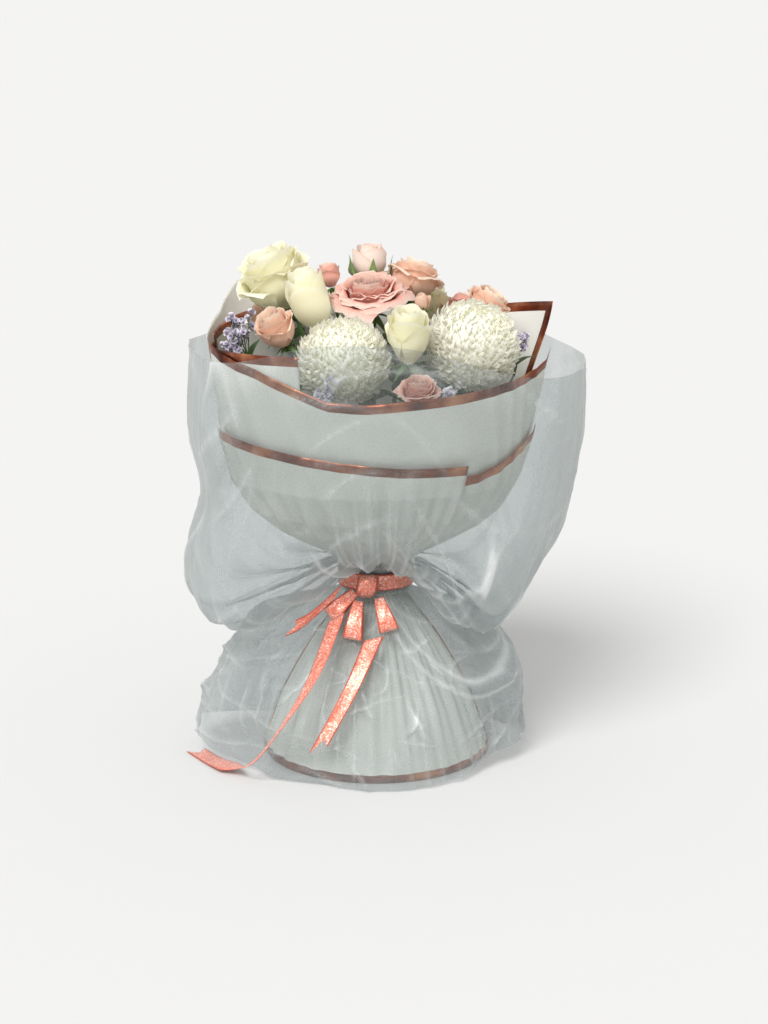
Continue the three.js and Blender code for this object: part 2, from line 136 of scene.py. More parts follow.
# ---------------------------------------------------------------- meshes
class Patchwork:
    """Gathers grids of points into one mesh, with a UV over each grid and named values at its points."""

    def __init__(self):
        self.points, self.faces, self.uvs, self.values, self.finishes = [], [], [], {}, []
        self.count = 0

    def grid(self, points, ring=False, finish=0, **values):
        """Adds a grid of rows by columns. A ring joins its last column to its first."""
        rows, columns = points.shape[:2]
        index = self.count + np.arange(rows * columns).reshape(rows, columns)
        if ring:
            index = np.hstack([index, index[:, :1]])
        quads = np.stack([index[:-1, :-1], index[:-1, 1:], index[1:, 1:], index[1:, :-1]], axis=-1)
        self.faces.append(quads.reshape(-1, 4))
        finish = np.broadcast_to(finish, quads.shape[:2])
        self.finishes.append(finish.reshape(-1))
        self.points.append(points.reshape(-1, 3))
        across = np.arange(columns) / max(columns - (0 if ring else 1), 1)
        along = np.arange(rows) / (rows - 1)
        self.uvs.append(np.stack(np.meshgrid(across, along), axis=-1).reshape(-1, 2))
        for name, value in values.items():
            filled = np.broadcast_to(value, (rows, columns)).reshape(-1)
            self.values.setdefault(name, []).append(filled)
        self.count += rows * columns

    def piece(self, name, *materials, thickness=0, offset=0):
        """The finished mesh as an object, made solid where a thickness in millimetres is given."""
        mesh = bpy.data.meshes.new(name)
        faces = np.vstack(self.faces)
        mesh.from_pydata(to_row(np.vstack(self.points)), [], faces)
        mesh.polygons.foreach_set("use_smooth", [True] * len(faces))
        mesh.polygons.foreach_set("material_index", np.concatenate(self.finishes).astype(int))
        loops = np.empty(len(mesh.loops), dtype=int)
        mesh.loops.foreach_get("vertex_index", loops)
        uv = mesh.uv_layers.new(name="surface")
        uv.data.foreach_set("uv", np.vstack(self.uvs)[loops].ravel())
        for key, value in self.values.items():
            layer = mesh.attributes.new(key, "FLOAT", "POINT")
            layer.data.foreach_set("value", np.concatenate(value).astype(float))
        mesh.update()
        made = bpy.data.objects.new(name, mesh)
        bpy.context.scene.collection.objects.link(made)
        for material in materials:
            mesh.materials.append(material)
        if thickness:
            wall = made.modifiers.new("wall", "SOLIDIFY")
            wall.thickness = thickness * MM
            wall.offset = offset
        return made


def tube(patch, path, radii, sides=8, **values):
    """A closed round tube of varying radius along a path of points."""
    path = np.asarray(path, dtype=float)
    radii = np.broadcast_to(radii, len(path)).astype(float)
    ahead = np.gradient(path, axis=0)
    ahead /= np.linalg.norm(ahead, axis=1)[:, None]
    side = np.cross(ahead[0], [0.31, 0.87, 0.12])
    rings = []
    for k, (point, along) in enumerate(zip(path, ahead)):
        side = side - along * side.dot(along)
        side /= np.linalg.norm(side)
        other = np.cross(along, side)
        turns = TAU * np.arange(sides) / sides
        ring = np.outer(np.cos(turns), side) + np.outer(np.sin(turns), other)
        rings.append(point + radii[k] * ring)
    ends = [np.repeat(path[:1], sides, axis=0), np.repeat(path[-1:], sides, axis=0)]
    patch.grid(np.stack([ends[0], *rings, ends[1]]), ring=True, **values)


def settle(made, slot, *nodes):
    """Fixes a finished piece to the bouquet, in place of its CAD nodes."""
    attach(made, "root")
    if nodes:
        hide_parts(*nodes)
    return made


# ---------------------------------------------------------------- finishes
def linear(hex_code):
    """An sRGB hex colour as linear red, green, blue and alpha."""
    channels = [int(hex_code[k : k + 2], 16) / 255 for k in (1, 3, 5)]
    return (*[c / 12.92 if c <= 0.04045 else ((c + 0.055) / 1.055) ** 2.4 for c in channels], 1.0)


def add(tree, kind, inputs=None, stops=None, **settings):
    """A node with its settings, its inputs given as values or as the outputs that they are linked to."""
    made = tree.nodes.new(kind)
    for name, value in settings.items():
        setattr(made, name, value)
    for name, value in (inputs or {}).items():
        if isinstance(value, bpy.types.NodeSocket):
            tree.links.new(value, made.inputs[name])
        else:
            made.inputs[name].default_value = value
    if stops:
        elements = made.color_ramp.elements
        while len(elements) < len(stops):
            elements.new(0.5)
        for element, (position, colour) in zip(elements, stops):
            element.position = position
            element.color = linear(colour) if isinstance(colour, str) else (colour, colour, colour, 1)
    return made


def reckon(tree, operation, *terms, **settings):
    """A sum of numbers or of outputs."""
    return add(tree, "ShaderNodeMath", dict(enumerate(terms)), operation=operation, **settings)


def glowing(tree, share, skin, colour):
    """The surface of a thin piece that lets through a share of the light, as the output."""
    through = add(tree, "ShaderNodeBsdfTranslucent", {"Color": colour})
    output(tree, add(tree, "ShaderNodeMixShader",
        {0: share, 1: skin.outputs[0], 2: through.outputs[0]}).outputs[0])


def material(name):
    """A new material with an empty tree, and the tree."""
    made = bpy.data.materials.new(name)
    made.use_nodes = True
    made.node_tree.nodes.clear()
    return made, made.node_tree


def output(tree, surface):
    add(tree, "ShaderNodeOutputMaterial", {"Surface": surface})


def fresh_petal(name, heart, body, rim, vein=0.5, glow=0.34):
    """Fresh petal: velvety, a little see-through, greener or deeper at the heart and paler at the rim."""
    made, tree = material(name)
    uv = add(tree, "ShaderNodeUVMap", uv_map="surface")
    spot = add(tree, "ShaderNodeSeparateXYZ", {0: uv.outputs[0]})
    opening = add(tree, "ShaderNodeAttribute", attribute_name="opening")
    shift = reckon(tree, "MULTIPLY", opening.outputs["Fac"], 0.55)
    level = reckon(tree, "MULTIPLY_ADD", spot.outputs["Y"], 0.45, shift.outputs[0])
    tint = add(tree, "ShaderNodeValToRGB", {0: level.outputs[0]},
        stops=[(0.04, heart), (0.22, body), (0.9, body)])
    stretch = add(tree, "ShaderNodeMapping", {"Vector": uv.outputs[0], "Scale": (34, 3, 1)})
    veins = add(tree, "ShaderNodeTexNoise", {"Vector": stretch.outputs[0], "Scale": 1.0, "Detail": 3.0})
    edge = add(tree, "ShaderNodeMapRange", {"Value": spot.outputs["Y"], "From Min": 0.86, "From Max": 1.0,
                                            "To Min": 0.0, "To Max": 0.85})
    veined = add(tree, "ShaderNodeMapRange",
        {"Value": veins.outputs["Fac"], "From Min": 0.3, "From Max": 0.75,
                                              "To Min": 1 - 0.28 * vein, "To Max": 1.0})
    rimmed = add(tree, "ShaderNodeMix", {0: edge.outputs[0], 6: tint.outputs[0], 7: linear(rim)},
        data_type="RGBA")
    colour = add(tree, "ShaderNodeMix", {0: 1.0, 6: rimmed.outputs[2], 7: veined.outputs[0]},
                 data_type="RGBA", blend_type="MULTIPLY")
    relief = add(tree, "ShaderNodeBump", {"Height": veins.outputs["Fac"], "Strength": 0.25,
        "Distance": 0.0004})
    skin = add(tree, "ShaderNodeBsdfPrincipled", {
        "Base Color": colour.outputs[2], "Roughness": 0.62, "IOR": 1.4, "Normal": relief.outputs[0],
        "Sheen Weight": 0.25, "Sheen Roughness": 0.5, "Specular IOR Level": 0.3})
    glowing(tree, glow, skin, colour.outputs[2])
    return made


def fresh_green(name, dark, light):
    """Fresh stem or leaf: waxy skin with a paler midrib side and darker blotches."""
    made, tree = material(name)
    place = add(tree, "ShaderNodeTexCoord")
    blotch = add(tree, "ShaderNodeTexNoise",
        {"Vector": place.outputs["Object"], "Scale": 90.0, "Detail": 4.0})
    uv = add(tree, "ShaderNodeUVMap", uv_map="surface")
    stretch = add(tree, "ShaderNodeMapping", {"Vector": uv.outputs[0], "Scale": (2, 26, 1)})
    ribs = add(tree, "ShaderNodeTexWave", {"Vector": stretch.outputs[0], "Scale": 1.0, "Distortion": 1.5})
    tone = add(tree, "ShaderNodeMix", {0: 0.3, 2: blotch.outputs["Fac"], 3: ribs.outputs["Fac"]})
    tint = add(tree, "ShaderNodeValToRGB", {0: tone.outputs[0]}, stops=[(0.25, dark), (0.75, light)])
    relief = add(tree, "ShaderNodeBump", {"Height": ribs.outputs["Fac"], "Strength": 0.3,
        "Distance": 0.0004})
    skin = add(tree, "ShaderNodeBsdfPrincipled", {
        "Base Color": tint.outputs[0], "Roughness": 0.48, "IOR": 1.42, "Normal": relief.outputs[0]})
    glowing(tree, 0.12, skin, tint.outputs[0])
    return made


def papery_calyx():
    """Dry papery florets: lilac cups with white rims, matt."""
    made, tree = material("papery_lilac_calyx")
    tone = add(tree, "ShaderNodeAttribute", attribute_name="tone")
    tint = add(tree, "ShaderNodeValToRGB", {0: tone.outputs["Fac"]},
               stops=[(0.0, "#8f86ad"), (0.45, "#b7aeca"), (0.8, "#e8e4ea"), (1.0, "#f1eff0")])
    skin = add(tree, "ShaderNodeBsdfPrincipled", {"Base Color": tint.outputs[0], "Roughness": 0.8})
    glowing(tree, 0.25, skin, tint.outputs[0])
    return made


def frosted_paper():
    """Waterproof flower paper: cast white film, frosted by fine fibres, softly see-through."""
    made, tree = material("frosted_flower_paper")
    place = add(tree, "ShaderNodeTexCoord")
    fibres = add(tree, "ShaderNodeTexNoise",
        {"Vector": place.outputs["Object"], "Scale": 700.0, "Detail": 3.0})
    clouds = add(tree, "ShaderNodeTexNoise",
        {"Vector": place.outputs["Object"], "Scale": 14.0, "Detail": 3.0})
    tint = add(tree, "ShaderNodeValToRGB", {0: clouds.outputs["Fac"]},
        stops=[(0.3, "#ebebe5"), (0.7, "#f4f3ee")])
    relief = add(tree, "ShaderNodeBump", {"Height": fibres.outputs["Fac"], "Strength": 0.12,
        "Distance": 0.0003})
    film = add(tree, "ShaderNodeBsdfPrincipled", {
        "Base Color": tint.outputs[0], "Roughness": 0.5, "IOR": 1.5, "Normal": relief.outputs[0]})
    glowing(tree, 0.3, film, tint.outputs[0])
    return made


def rose_gold_foil_painted_shade_and_reflection():
    """Hot-stamped rose gold foil: a metal mirror broken up by the creases of the film, with painted shade
    dark in its creases and painted reflection bright between them.
    """
    made, tree = material("rose_gold_foil_painted_shade_and_reflection")
    place = add(tree, "ShaderNodeTexCoord")
    crease = add(tree, "ShaderNodeTexNoise",
        {"Vector": place.outputs["Object"], "Scale": 24.0, "Detail": 5.0})
    # The crease noise paints the foil's colour: dark brown in the creases is painted shade, and the bright
    # copper between them is painted reflection. The bump from the same noise is the real crinkle.
    tint = add(tree, "ShaderNodeValToRGB", {0: crease.outputs["Fac"]},
        stops=[(0.36, "#5a2b1c"), (0.52, "#94523a"), (0.68, "#d6966f")])
    relief = add(tree, "ShaderNodeBump", {"Height": crease.outputs["Fac"], "Strength": 0.6,
        "Distance": 0.003})
    foil = add(tree, "ShaderNodeBsdfPrincipled", {
        "Base Color": tint.outputs[0], "Metallic": 0.9, "Roughness": 0.3, "Normal": relief.outputs[0]})
    output(tree, foil.outputs[0])
    return made


def silk_organza(name, face_on, edge_on):
    """Organza: a sheer weave of twisted filament, clear face on, with a painted highlight at folds and
    creases, where it is painted white and made more opaque.
    """
    made, tree = material(name)
    place = add(tree, "ShaderNodeTexCoord")
    # The threads lie a fifth of a millimetre apart; their glitter, a painted glint that thickens the gauze in
    # specks, is drawn at over a millimetre, to show.
    glint = add(tree, "ShaderNodeTexNoise",
        {"Vector": place.outputs["Object"], "Scale": 620.0, "Detail": 2.0})
    painted_glint_specks = add(tree, "ShaderNodeMapRange",
        {"Value": glint.outputs["Fac"], "From Min": 0.35, "From Max": 0.75,
                                             "To Min": -0.04, "To Max": 0.08})
    slant = add(tree, "ShaderNodeLayerWeight", {"Blend": 0.5})
    cover = add(tree, "ShaderNodeMapRange",
        {"Value": slant.outputs["Facing"], "From Min": 0.1, "From Max": 0.95,
                                             "To Min": face_on, "To Max": edge_on})
    crease = add(tree, "ShaderNodeAttribute", attribute_name="crease")
    # Painted highlight: the crease attribute makes the gauze more opaque and paints its colour from grey to
    # white along folds and creases.
    cover_and_painted_crease_highlight = reckon(tree, "MULTIPLY_ADD", crease.outputs["Fac"], 0.5, cover.outputs[0])
    total = reckon(tree, "ADD", cover_and_painted_crease_highlight.outputs[0], painted_glint_specks.outputs[0], use_clamp=True)
    tint = add(tree, "ShaderNodeMix", {0: crease.outputs["Fac"], 6: linear("#bfc5c5"),
        7: linear("#f7fafa")},
               data_type="RGBA")
    relief = add(tree, "ShaderNodeBump", {"Height": glint.outputs["Fac"], "Strength": 0.35,
        "Distance": 0.0006})
    threads = add(tree, "ShaderNodeBsdfPrincipled", {
        "Base Color": tint.outputs[2], "Roughness": 0.32, "IOR": 1.55, "Normal": relief.outputs[0],
        "Sheen Weight": 0.3, "Sheen Roughness": 0.3})
    lit = add(tree, "ShaderNodeBsdfTranslucent", {"Color": tint.outputs[2]})
    fibre = add(tree, "ShaderNodeMixShader", {0: 0.35, 1: threads.outputs[0], 2: lit.outputs[0]})
    clear = add(tree, "ShaderNodeBsdfTransparent", {"Color": linear("#e4e8e8")})
    both = add(tree, "ShaderNodeMixShader", {0: total.outputs[0], 1: clear.outputs[0], 2: fibre.outputs[0]})
    output(tree, both.outputs[0])
    return made


def glitter_ribbon():
    """Woven ribbon with a metallic glitter face and a darker woven selvedge down each side."""
    made, tree = material("coral_glitter_ribbon")
    uv = add(tree, "ShaderNodeUVMap", uv_map="surface")
    spot = add(tree, "ShaderNodeSeparateXYZ", {0: uv.outputs[0]})
    place = add(tree, "ShaderNodeTexCoord")
    # The flakes are under half a millimetre, drawn at about one so that they show.
    flakes = add(tree, "ShaderNodeTexVoronoi", {"Vector": place.outputs["Object"], "Scale": 900.0})
    sparkle = add(tree, "ShaderNodeSeparateColor", {0: flakes.outputs["Color"]})
    off_centre = reckon(tree, "SUBTRACT", spot.outputs["X"], 0.5)
    side = reckon(tree, "ABSOLUTE", off_centre.outputs[0])
    selvedge = add(tree, "ShaderNodeMapRange",
        {"Value": side.outputs[0], "From Min": 0.405, "From Max": 0.43})
    tint = add(tree, "ShaderNodeValToRGB", {0: sparkle.outputs[0]},
               stops=[(0.0, "#d9694f"), (0.55, "#ee8a72"), (0.85, "#f6b3a0"), (1.0, "#ffe3da")])
    colour = add(tree, "ShaderNodeMix", {0: selvedge.outputs[0], 6: tint.outputs[0], 7: linear("#c8553c")},
                 data_type="RGBA")
    shine = add(tree, "ShaderNodeMapRange", {"Value": sparkle.outputs[1], "From Min": 0.45, "From Max": 1.0,
                                             "To Min": 0.05, "To Max": 0.85})
    relief = add(tree, "ShaderNodeBump", {"Height": sparkle.outputs[2], "Strength": 0.7,
        "Distance": 0.0006})
    face = add(tree, "ShaderNodeBsdfPrincipled", {
        "Base Color": colour.outputs[2], "Metallic": shine.outputs[0], "Roughness": 0.34,
        "Normal": relief.outputs[0], "Sheen Weight": 0.3})
    output(tree, face.outputs[0])
    return made


def jute_twine():
    """Jute: dry matt fibre, twisted, with pale and dark hairs."""
    made, tree = material("jute_twine")
    uv = add(tree, "ShaderNodeUVMap", uv_map="surface")
    stretch = add(tree, "ShaderNodeMapping",
        {"Vector": uv.outputs[0], "Scale": (2, 160, 1), "Rotation": (0, 0, 0.5)})
    strands = add(tree, "ShaderNodeTexWave",
        {"Vector": stretch.outputs[0], "Scale": 1.0, "Distortion": 2.0})
    tint = add(tree, "ShaderNodeValToRGB", {0: strands.outputs["Fac"]},
        stops=[(0.2, "#9c8358"), (0.8, "#cfb98e")])
    relief = add(tree, "ShaderNodeBump", {"Height": strands.outputs["Fac"], "Strength": 0.8,
        "Distance": 0.0008})
    fibre = add(tree, "ShaderNodeBsdfPrincipled", {
        "Base Color": tint.outputs[0], "Roughness": 0.9, "Normal": relief.outputs[0]})
    output(tree, fibre.outputs[0])
    return made


PETALS = {
    "cream": fresh_petal("cream_rose_petal", "#e4ec9e", "#fdfadd", "#fefcf0", vein=0.12),
    "pink": fresh_petal("pink_rose_petal", "#ec9584", "#fac6b6", "#fdeee2", vein=0.35),
    "peach": fresh_petal("peach_rose_petal", "#f0ae90", "#fcd8c0", "#fdf2e0", vein=0.3),
    "blush": fresh_petal("blush_rose_petal", "#f3cdbd", "#fdf0e6", "#fadccf", vein=0.2),
    "white": fresh_petal("white_chrysanthemum_floret", "#fbfbdc", "#fffef4", "#fffefa", vein=0.05),
}
SEPAL_GREEN = fresh_green("sepal_green", "#56703a", "#8fa866")
LEAF_GREEN = fresh_green("leaf_green", "#33502c", "#648349")
CALYX = papery_calyx()
PAPER = frosted_paper()
FOIL = rose_gold_foil_painted_shade_and_reflection()
VEIL_GAUZE = silk_organza("organza_veil", 0.13, 0.74)
SKIRT_GAUZE = silk_organza("organza_skirt", 0.22, 0.80)
RIBBON = glitter_ribbon()
TWINE = jute_twine()


# ---------------------------------------------------------------- flowers
# What each bloom is like: the way that it faces, its radius and height, how many petals it has, how far
# it has opened, and how its petals ruffle and its sepals clasp it. Its place is its CAD solid's.
BLOOMS = {
    "cream_rose_left": dict(tint="cream", facing=(-0.45, -0.1, 0.88), radius=36, height=62, petals=26,
     open=0.75, ruffle=0.02),
    "cream_rose_profile": dict(tint="cream", facing=(-0.32, -0.1, 0.94), radius=23, height=62, petals=16,
     open=0.25, ruffle=0.0),
    "cream_rose_centre": dict(tint="cream", facing=(0.02, -0.25, 0.97), radius=22, height=56, petals=20,
     open=0.5, ruffle=0.015),
    "cream_rose_back": dict(tint="cream", facing=(0.1, 0.4, 0.9), radius=28, height=50, petals=24,
     open=0.65, ruffle=0.02),
    "pink_rose_open": dict(tint="pink", facing=(-0.08, -0.28, 0.96), radius=33, height=36, petals=34,
     open=1.0, ruffle=0.06),
    "pink_rose_blush": dict(tint="peach", facing=(0.3, 0.22, 0.93), radius=26, height=38, petals=28,
     open=0.75, ruffle=0.03),
    "pink_rose_right": dict(tint="peach", facing=(0.55, -0.1, 0.83), radius=23, height=38, petals=26,
     open=0.7, ruffle=0.03),
    "pink_rose_left": dict(tint="peach", facing=(-0.45, -0.3, 0.84), radius=20, height=38, petals=22,
     open=0.6, ruffle=0.03),
    "pink_rose_front": dict(tint="pink", facing=(0.0, -0.35, 0.93), radius=18, height=30, petals=28,
     open=0.9, ruffle=0.05),
    "pink_rose_small": dict(tint="pink", facing=(-0.2, 0.1, 0.97), radius=13, height=24, petals=16,
     open=0.5, ruffle=0.02),
    "pink_rose_back_right": dict(tint="pink", facing=(0.4, 0.4, 0.82), radius=23, height=36, petals=28,
     open=0.8, ruffle=0.04),
    "pink_rose_back_left": dict(tint="peach", facing=(-0.5, 0.35, 0.8), radius=17, height=34, petals=22,
     open=0.6, ruffle=0.03),
    "blush_bud_top": dict(tint="blush", facing=(0.03, -0.05, 1.0), radius=20, height=35, petals=13,
     open=0.12, ruffle=0.0, clasp=0.8),
    "peach_bud_middle": dict(tint="peach", facing=(0.1, -0.2, 0.97), radius=9, height=18, petals=9,
     open=0.1, ruffle=0.0, clasp=0.6),
    "chrysanthemum_left": dict(tint="white", facing=(-0.15, -0.5, 0.85), radius=47, height=88, florets=760),
    "chrysanthemum_right": dict(tint="white", facing=(0.25, -0.5, 0.83), radius=48, height=90, florets=760),
    "chrysanthemum_back": dict(tint="white", facing=(-0.15, 0.45, 0.88), radius=38, height=72, florets=560),
}
CALYX_GAP = 0.5


def bloom_place(name, facing, height):
    """The foot of a bloom, its axis, and the turn that stands it up along that axis."""
    low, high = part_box(f"{name}_petals")
    axis = unit(facing)
    foot = from_row((low + high) / 2) - axis * height / 2
    return foot, axis, turn_to(axis)


def rose_petal(t, turn, radius, height, openness, ruffle, rng, rows=11, columns=11):
    """One petal about +Z with its foot at the origin. t goes from 0, the innermost, to 1, the outermost."""
    v = np.linspace(0, 1, rows)[:, None]
    u = np.linspace(-1, 1, columns)[None, :]
    curl = radius * openness * 0.5 * max(0.0, t - 0.3) * rng.uniform(0.75, 1.25)
    close = 0.42 * (1 - t) * (1.15 - openness)
    tip = 1 - 0.2 * np.abs(u) ** 2.6 + 0.05 * t * (1 - np.abs(u)) ** 2
    breadth = (0.4 + 0.6 * np.sin(np.pi / 2 * np.minimum(1, v / 0.62))) * (1 - 0.18 * ease(v, 0.78, 1))
    wrap = math.radians(mix(150, 64, t)) * rng.uniform(0.92, 1.08)
    angle = turn + wrap * u * breadth
    cup = radius * mix(0.12, 0.9, t**0.9) * (0.32 + 0.68 * np.sin(np.pi / 2 * np.minimum(1, v / 0.6)))
    cup = cup * (1 - close * ease(v, 0.5, 1))
    roll = curl * (ease(v, 0.66, 1) ** 1.4 + 0.45 * np.abs(u) ** 3 * ease(v, 0.3, 0.9))
    wave = ruffle * radius * v**3 * np.sin(4 * np.pi * u + rng.uniform(0, TAU))
    distance = cup + roll + wave + 0.045 * radius * u * v
    crown = height * (0.9 + 0.1 * math.sin(math.pi * t) - 0.22 * openness * ease(t, 0.6, 1.0))
    rise = crown * v * tip * rng.uniform(0.96, 1.03) - 0.8 * curl * ease(v, 0.8, 1) ** 2
    rise = rise + ruffle * radius * 0.6 * v**4 * np.cos(5 * np.pi * u + rng.uniform(0, TAU))
    return np.stack([distance * np.cos(angle), distance * np.sin(angle), rise + 0 * u], axis=-1)


def rose(name, tint, facing, radius, height, petals, open, ruffle, clasp=0.0):
    """A rose of spiralled petals, its receptacle and its five sepals."""
    rng = random.Random(name)
    foot, axis, turn = bloom_place(name, facing, height)
    blossom = Patchwork()
    for k in range(petals):
        t = k / (petals - 1)
        shape = rose_petal(t, k * GOLDEN_TURN, radius, height, open, ruffle, rng)
        blossom.grid(foot + shape @ turn.T, opening=t)
    made = blossom.piece(f"{name}_bloom", PETALS[tint])
    settle(made, frame_slot(f"{name}_petals"), f"{name}_petals")

    green = Patchwork()
    size = min(16, radius * 0.62)
    below = foot - axis * CALYX_GAP
    profile = [(0.05, -1.1), (0.22, -0.95), (0.34, -0.6), (0.36, -0.3), (0.3, -0.05), (0.02, 0.0)]
    turns = TAU * np.arange(10) / 10
    hip = np.array([
        [[r * size * math.cos(a), r * size * math.sin(a), h * size] for a in turns]
        for r, h in profile
    ])
    green.grid(below + hip @ turn.T, ring=True)
    for k in range(5):
        v = np.linspace(0, 1, 9)[:, None]
        u = np.linspace(-1, 1, 5)[None, :]
        length = size * 1.7
        across = size * 0.26 * (1 - v**1.6) * u
        if clasp:
            bulge = np.sin(np.pi / 2 * np.minimum(1, v / 0.5)) ** 0.8
            out = (radius + 2.5) * bulge * (1 - 0.06 * v) + 2.5 * ease(v, 0.8, 1)
            lift = -0.1 * size + clasp * height * v**1.2
            across = 2.2 * across
        else:
            out = length * (0.15 + 0.85 * v) - 0.35 * np.abs(across)
            lift = length * (-0.55 * v**1.5) - 0.1 * size
        turn_out = TAU * k / 5 + (0.3 if not clasp else 0.15 - math.pi / 2)
        blade = np.stack([
            out * math.cos(turn_out) - across * math.sin(turn_out),
            out * math.sin(turn_out) + across * math.cos(turn_out),
            lift + 0 * u], axis=-1)
        green.grid(below + blade @ turn.T)
    return green


def frame_slot(node):
    """The record's material slot of a CAD node."""
    return next(part["material_slot"] for part in frame["record"]["subparts"] if part["node"] == node)


def stem_slot(node):
    """Where a stem crosses the waist, worked out from its cut end: every stem of the spiral is a straight
    line that turns with the others, so the cut end fixes the whole of it."""
    mesh = frame["nodes"][node].data
    points = np.array([from_row(vertex.co) for vertex in mesh.vertices])
    cut = points[points[:, 2] < 0.5].mean(axis=0)
    return complex(cut[0], cut[1]) / complex(1, -TIE_HEIGHT / SPIRAL)


SPIRAL = 45  # height over which the spiral of stems turns by an eighth
BEND = 95  # height above the waist where the stems leave the spiral


def stem_route(node, top, axis):
    """A stem's middle line from its cut end, along the spiral, and over into the foot of its head."""
    slot = stem_slot(node)

    def at(rise):
        spot = slot * complex(1, rise / SPIRAL)
        return np.array([spot.real, spot.imag, TIE_HEIGHT + rise])

    low, bend = at(-TIE_HEIGHT + 1), at(BEND)
    along = unit(bend - low)
    reach = np.linalg.norm(top - bend)
    control = [bend, bend + along * reach * 0.4, top - axis * reach * 0.3, top]
    t = np.linspace(0, 1, 15)[1:, None]
    upper = ((1 - t) ** 3 * control[0] + 3 * (1 - t) ** 2 * t * control[1]
             + 3 * (1 - t) * t**2 * control[2] + t**3 * control[3])
    straight = np.linspace(low, bend, 8)
    return np.vstack([straight, upper])


def leaf(patch, base, direction, length, width, droop, roll=0.0):
    """A folded, pointed leaf that leaves base in a direction and droops towards its tip."""
    direction = unit(direction)
    side = unit(np.cross(direction, [0, 0, 1]))
    lift = np.cross(side, direction)
    side, lift = (
        side * math.cos(roll) + lift * math.sin(roll),
        lift * math.cos(roll) - side * math.sin(roll),
    )
    v = np.linspace(0, 1, 12)[:, None, None]
    u = np.linspace(-1, 1, 7)[None, :, None]
    notch = 1 + 0.05 * np.cos(v * 60)
    half = width / 2 * np.sin(np.pi * np.clip(v, 0, 1) ** 0.75) ** 0.85 * notch
    points = (base + direction * length * v * (1 - 0.15 * v) + side * half * u
              + lift * (0.3 * half * np.abs(u) - droop * length * v**2))
    patch.grid(points)


def leafy_stem(name, top, axis, thickness, leaves, rng, green):
    """A round tapering stem and its leaves, joined to the green parts of its head."""
    route = stem_route(f"{name}_stem", top, axis)
    radii = thickness * np.linspace(1.05, 0.85, len(route))
    tube(green, route, radii, sides=8)
    for k in range(leaves):
        spot = route[-4 - k]
        round_at = 1.9 * k + rng.uniform(0, 1.2)
        out = np.array([math.cos(round_at), math.sin(round_at), 0.55])
        length = rng.uniform(36, 50)
        if np.hypot(*(spot + out * length)[:2]) > 112:
            out = out * np.array([-1, -1, 1])
        if np.hypot(*(spot + out * length)[:2]) > 112:
            out, length = unit([-spot[0], -spot[1], 40]), 34
        leaf(green, spot, out, length, rng.uniform(20, 27), rng.uniform(0.1, 0.35), rng.uniform(-0.4, 0.4))


def floret_shape():
    """One floret of an incurved bloom: a trough that rises from its foot and hooks over towards the crown."""
    v = np.linspace(0, 1, 6)[:, None]
    u = np.linspace(-1, 1, 3)[None, :]
    bend = 2.5 * v**1.5
    half = 2.5 * (0.45 + 0.55 * np.sin(np.pi * np.clip(v * 0.86 + 0.08, 0, 1))) * (1 - 0.35 * ease(v, 0.85,
        1))
    forward = 7.5 * (1 - np.cos(bend)) / 1.3
    outward = 16.5 * v * (1 - 0.42 * v**2) + 0 * u
    trough = 1.9 * u**2
    return np.stack([half * u + 0 * v, forward + trough * np.cos(bend),
        outward - trough * np.sin(bend) * 0.6], axis=-1)


def source_piece(name, shape, thickness, finish):
    """A small mesh in metres about the origin, made solid where a thickness is given, to be set out by a node
    tree and then thrown away.
    """
    patch = Patchwork()
    patch.grid(shape - np.array([TIE.x, TIE.y, 0.0]) / MM)
    made = patch.piece(name, finish, thickness=thickness)
    evaluated = made.evaluated_get(bpy.context.evaluated_depsgraph_get())
    mesh = bpy.data.meshes.new_from_object(evaluated)
    made.modifiers.clear()
    made.data = mesh
    return made


def tree_with(name, inputs):
    """An empty geometry node tree with named inputs, its input node and its output node."""
    tree = bpy.data.node_groups.new(name, "GeometryNodeTree")
    tree.interface.new_socket("Geometry", in_out="INPUT", socket_type="NodeSocketGeometry")
    for key, kind in inputs.items():
        tree.interface.new_socket(key, in_out="INPUT", socket_type=f"NodeSocket{kind}")
    tree.interface.new_socket("Geometry", in_out="OUTPUT", socket_type="NodeSocketGeometry")
    return tree, tree.nodes.new("NodeGroupInput"), tree.nodes.new("NodeGroupOutput")


def grown(name, mesh, tree, values):
    """The mesh that a geometry node tree makes from a mesh with these values for its named inputs."""
    holder = bpy.data.objects.new(name, mesh)
    bpy.context.scene.collection.objects.link(holder)
    modifier = holder.modifiers.new("grow", "NODES")
    modifier.node_group = tree
    sockets = {item.name: item.identifier for item in tree.interface.items_tree if item.in_out == "INPUT"}
    for key, value in values.items():
        modifier[sockets[key]] = value
    bpy.context.view_layer.update()
    evaluated = holder.evaluated_get(bpy.context.evaluated_depsgraph_get())
    made = bpy.data.meshes.new_from_object(evaluated)
    holder.modifiers.clear()
    holder.data = made
    return holder


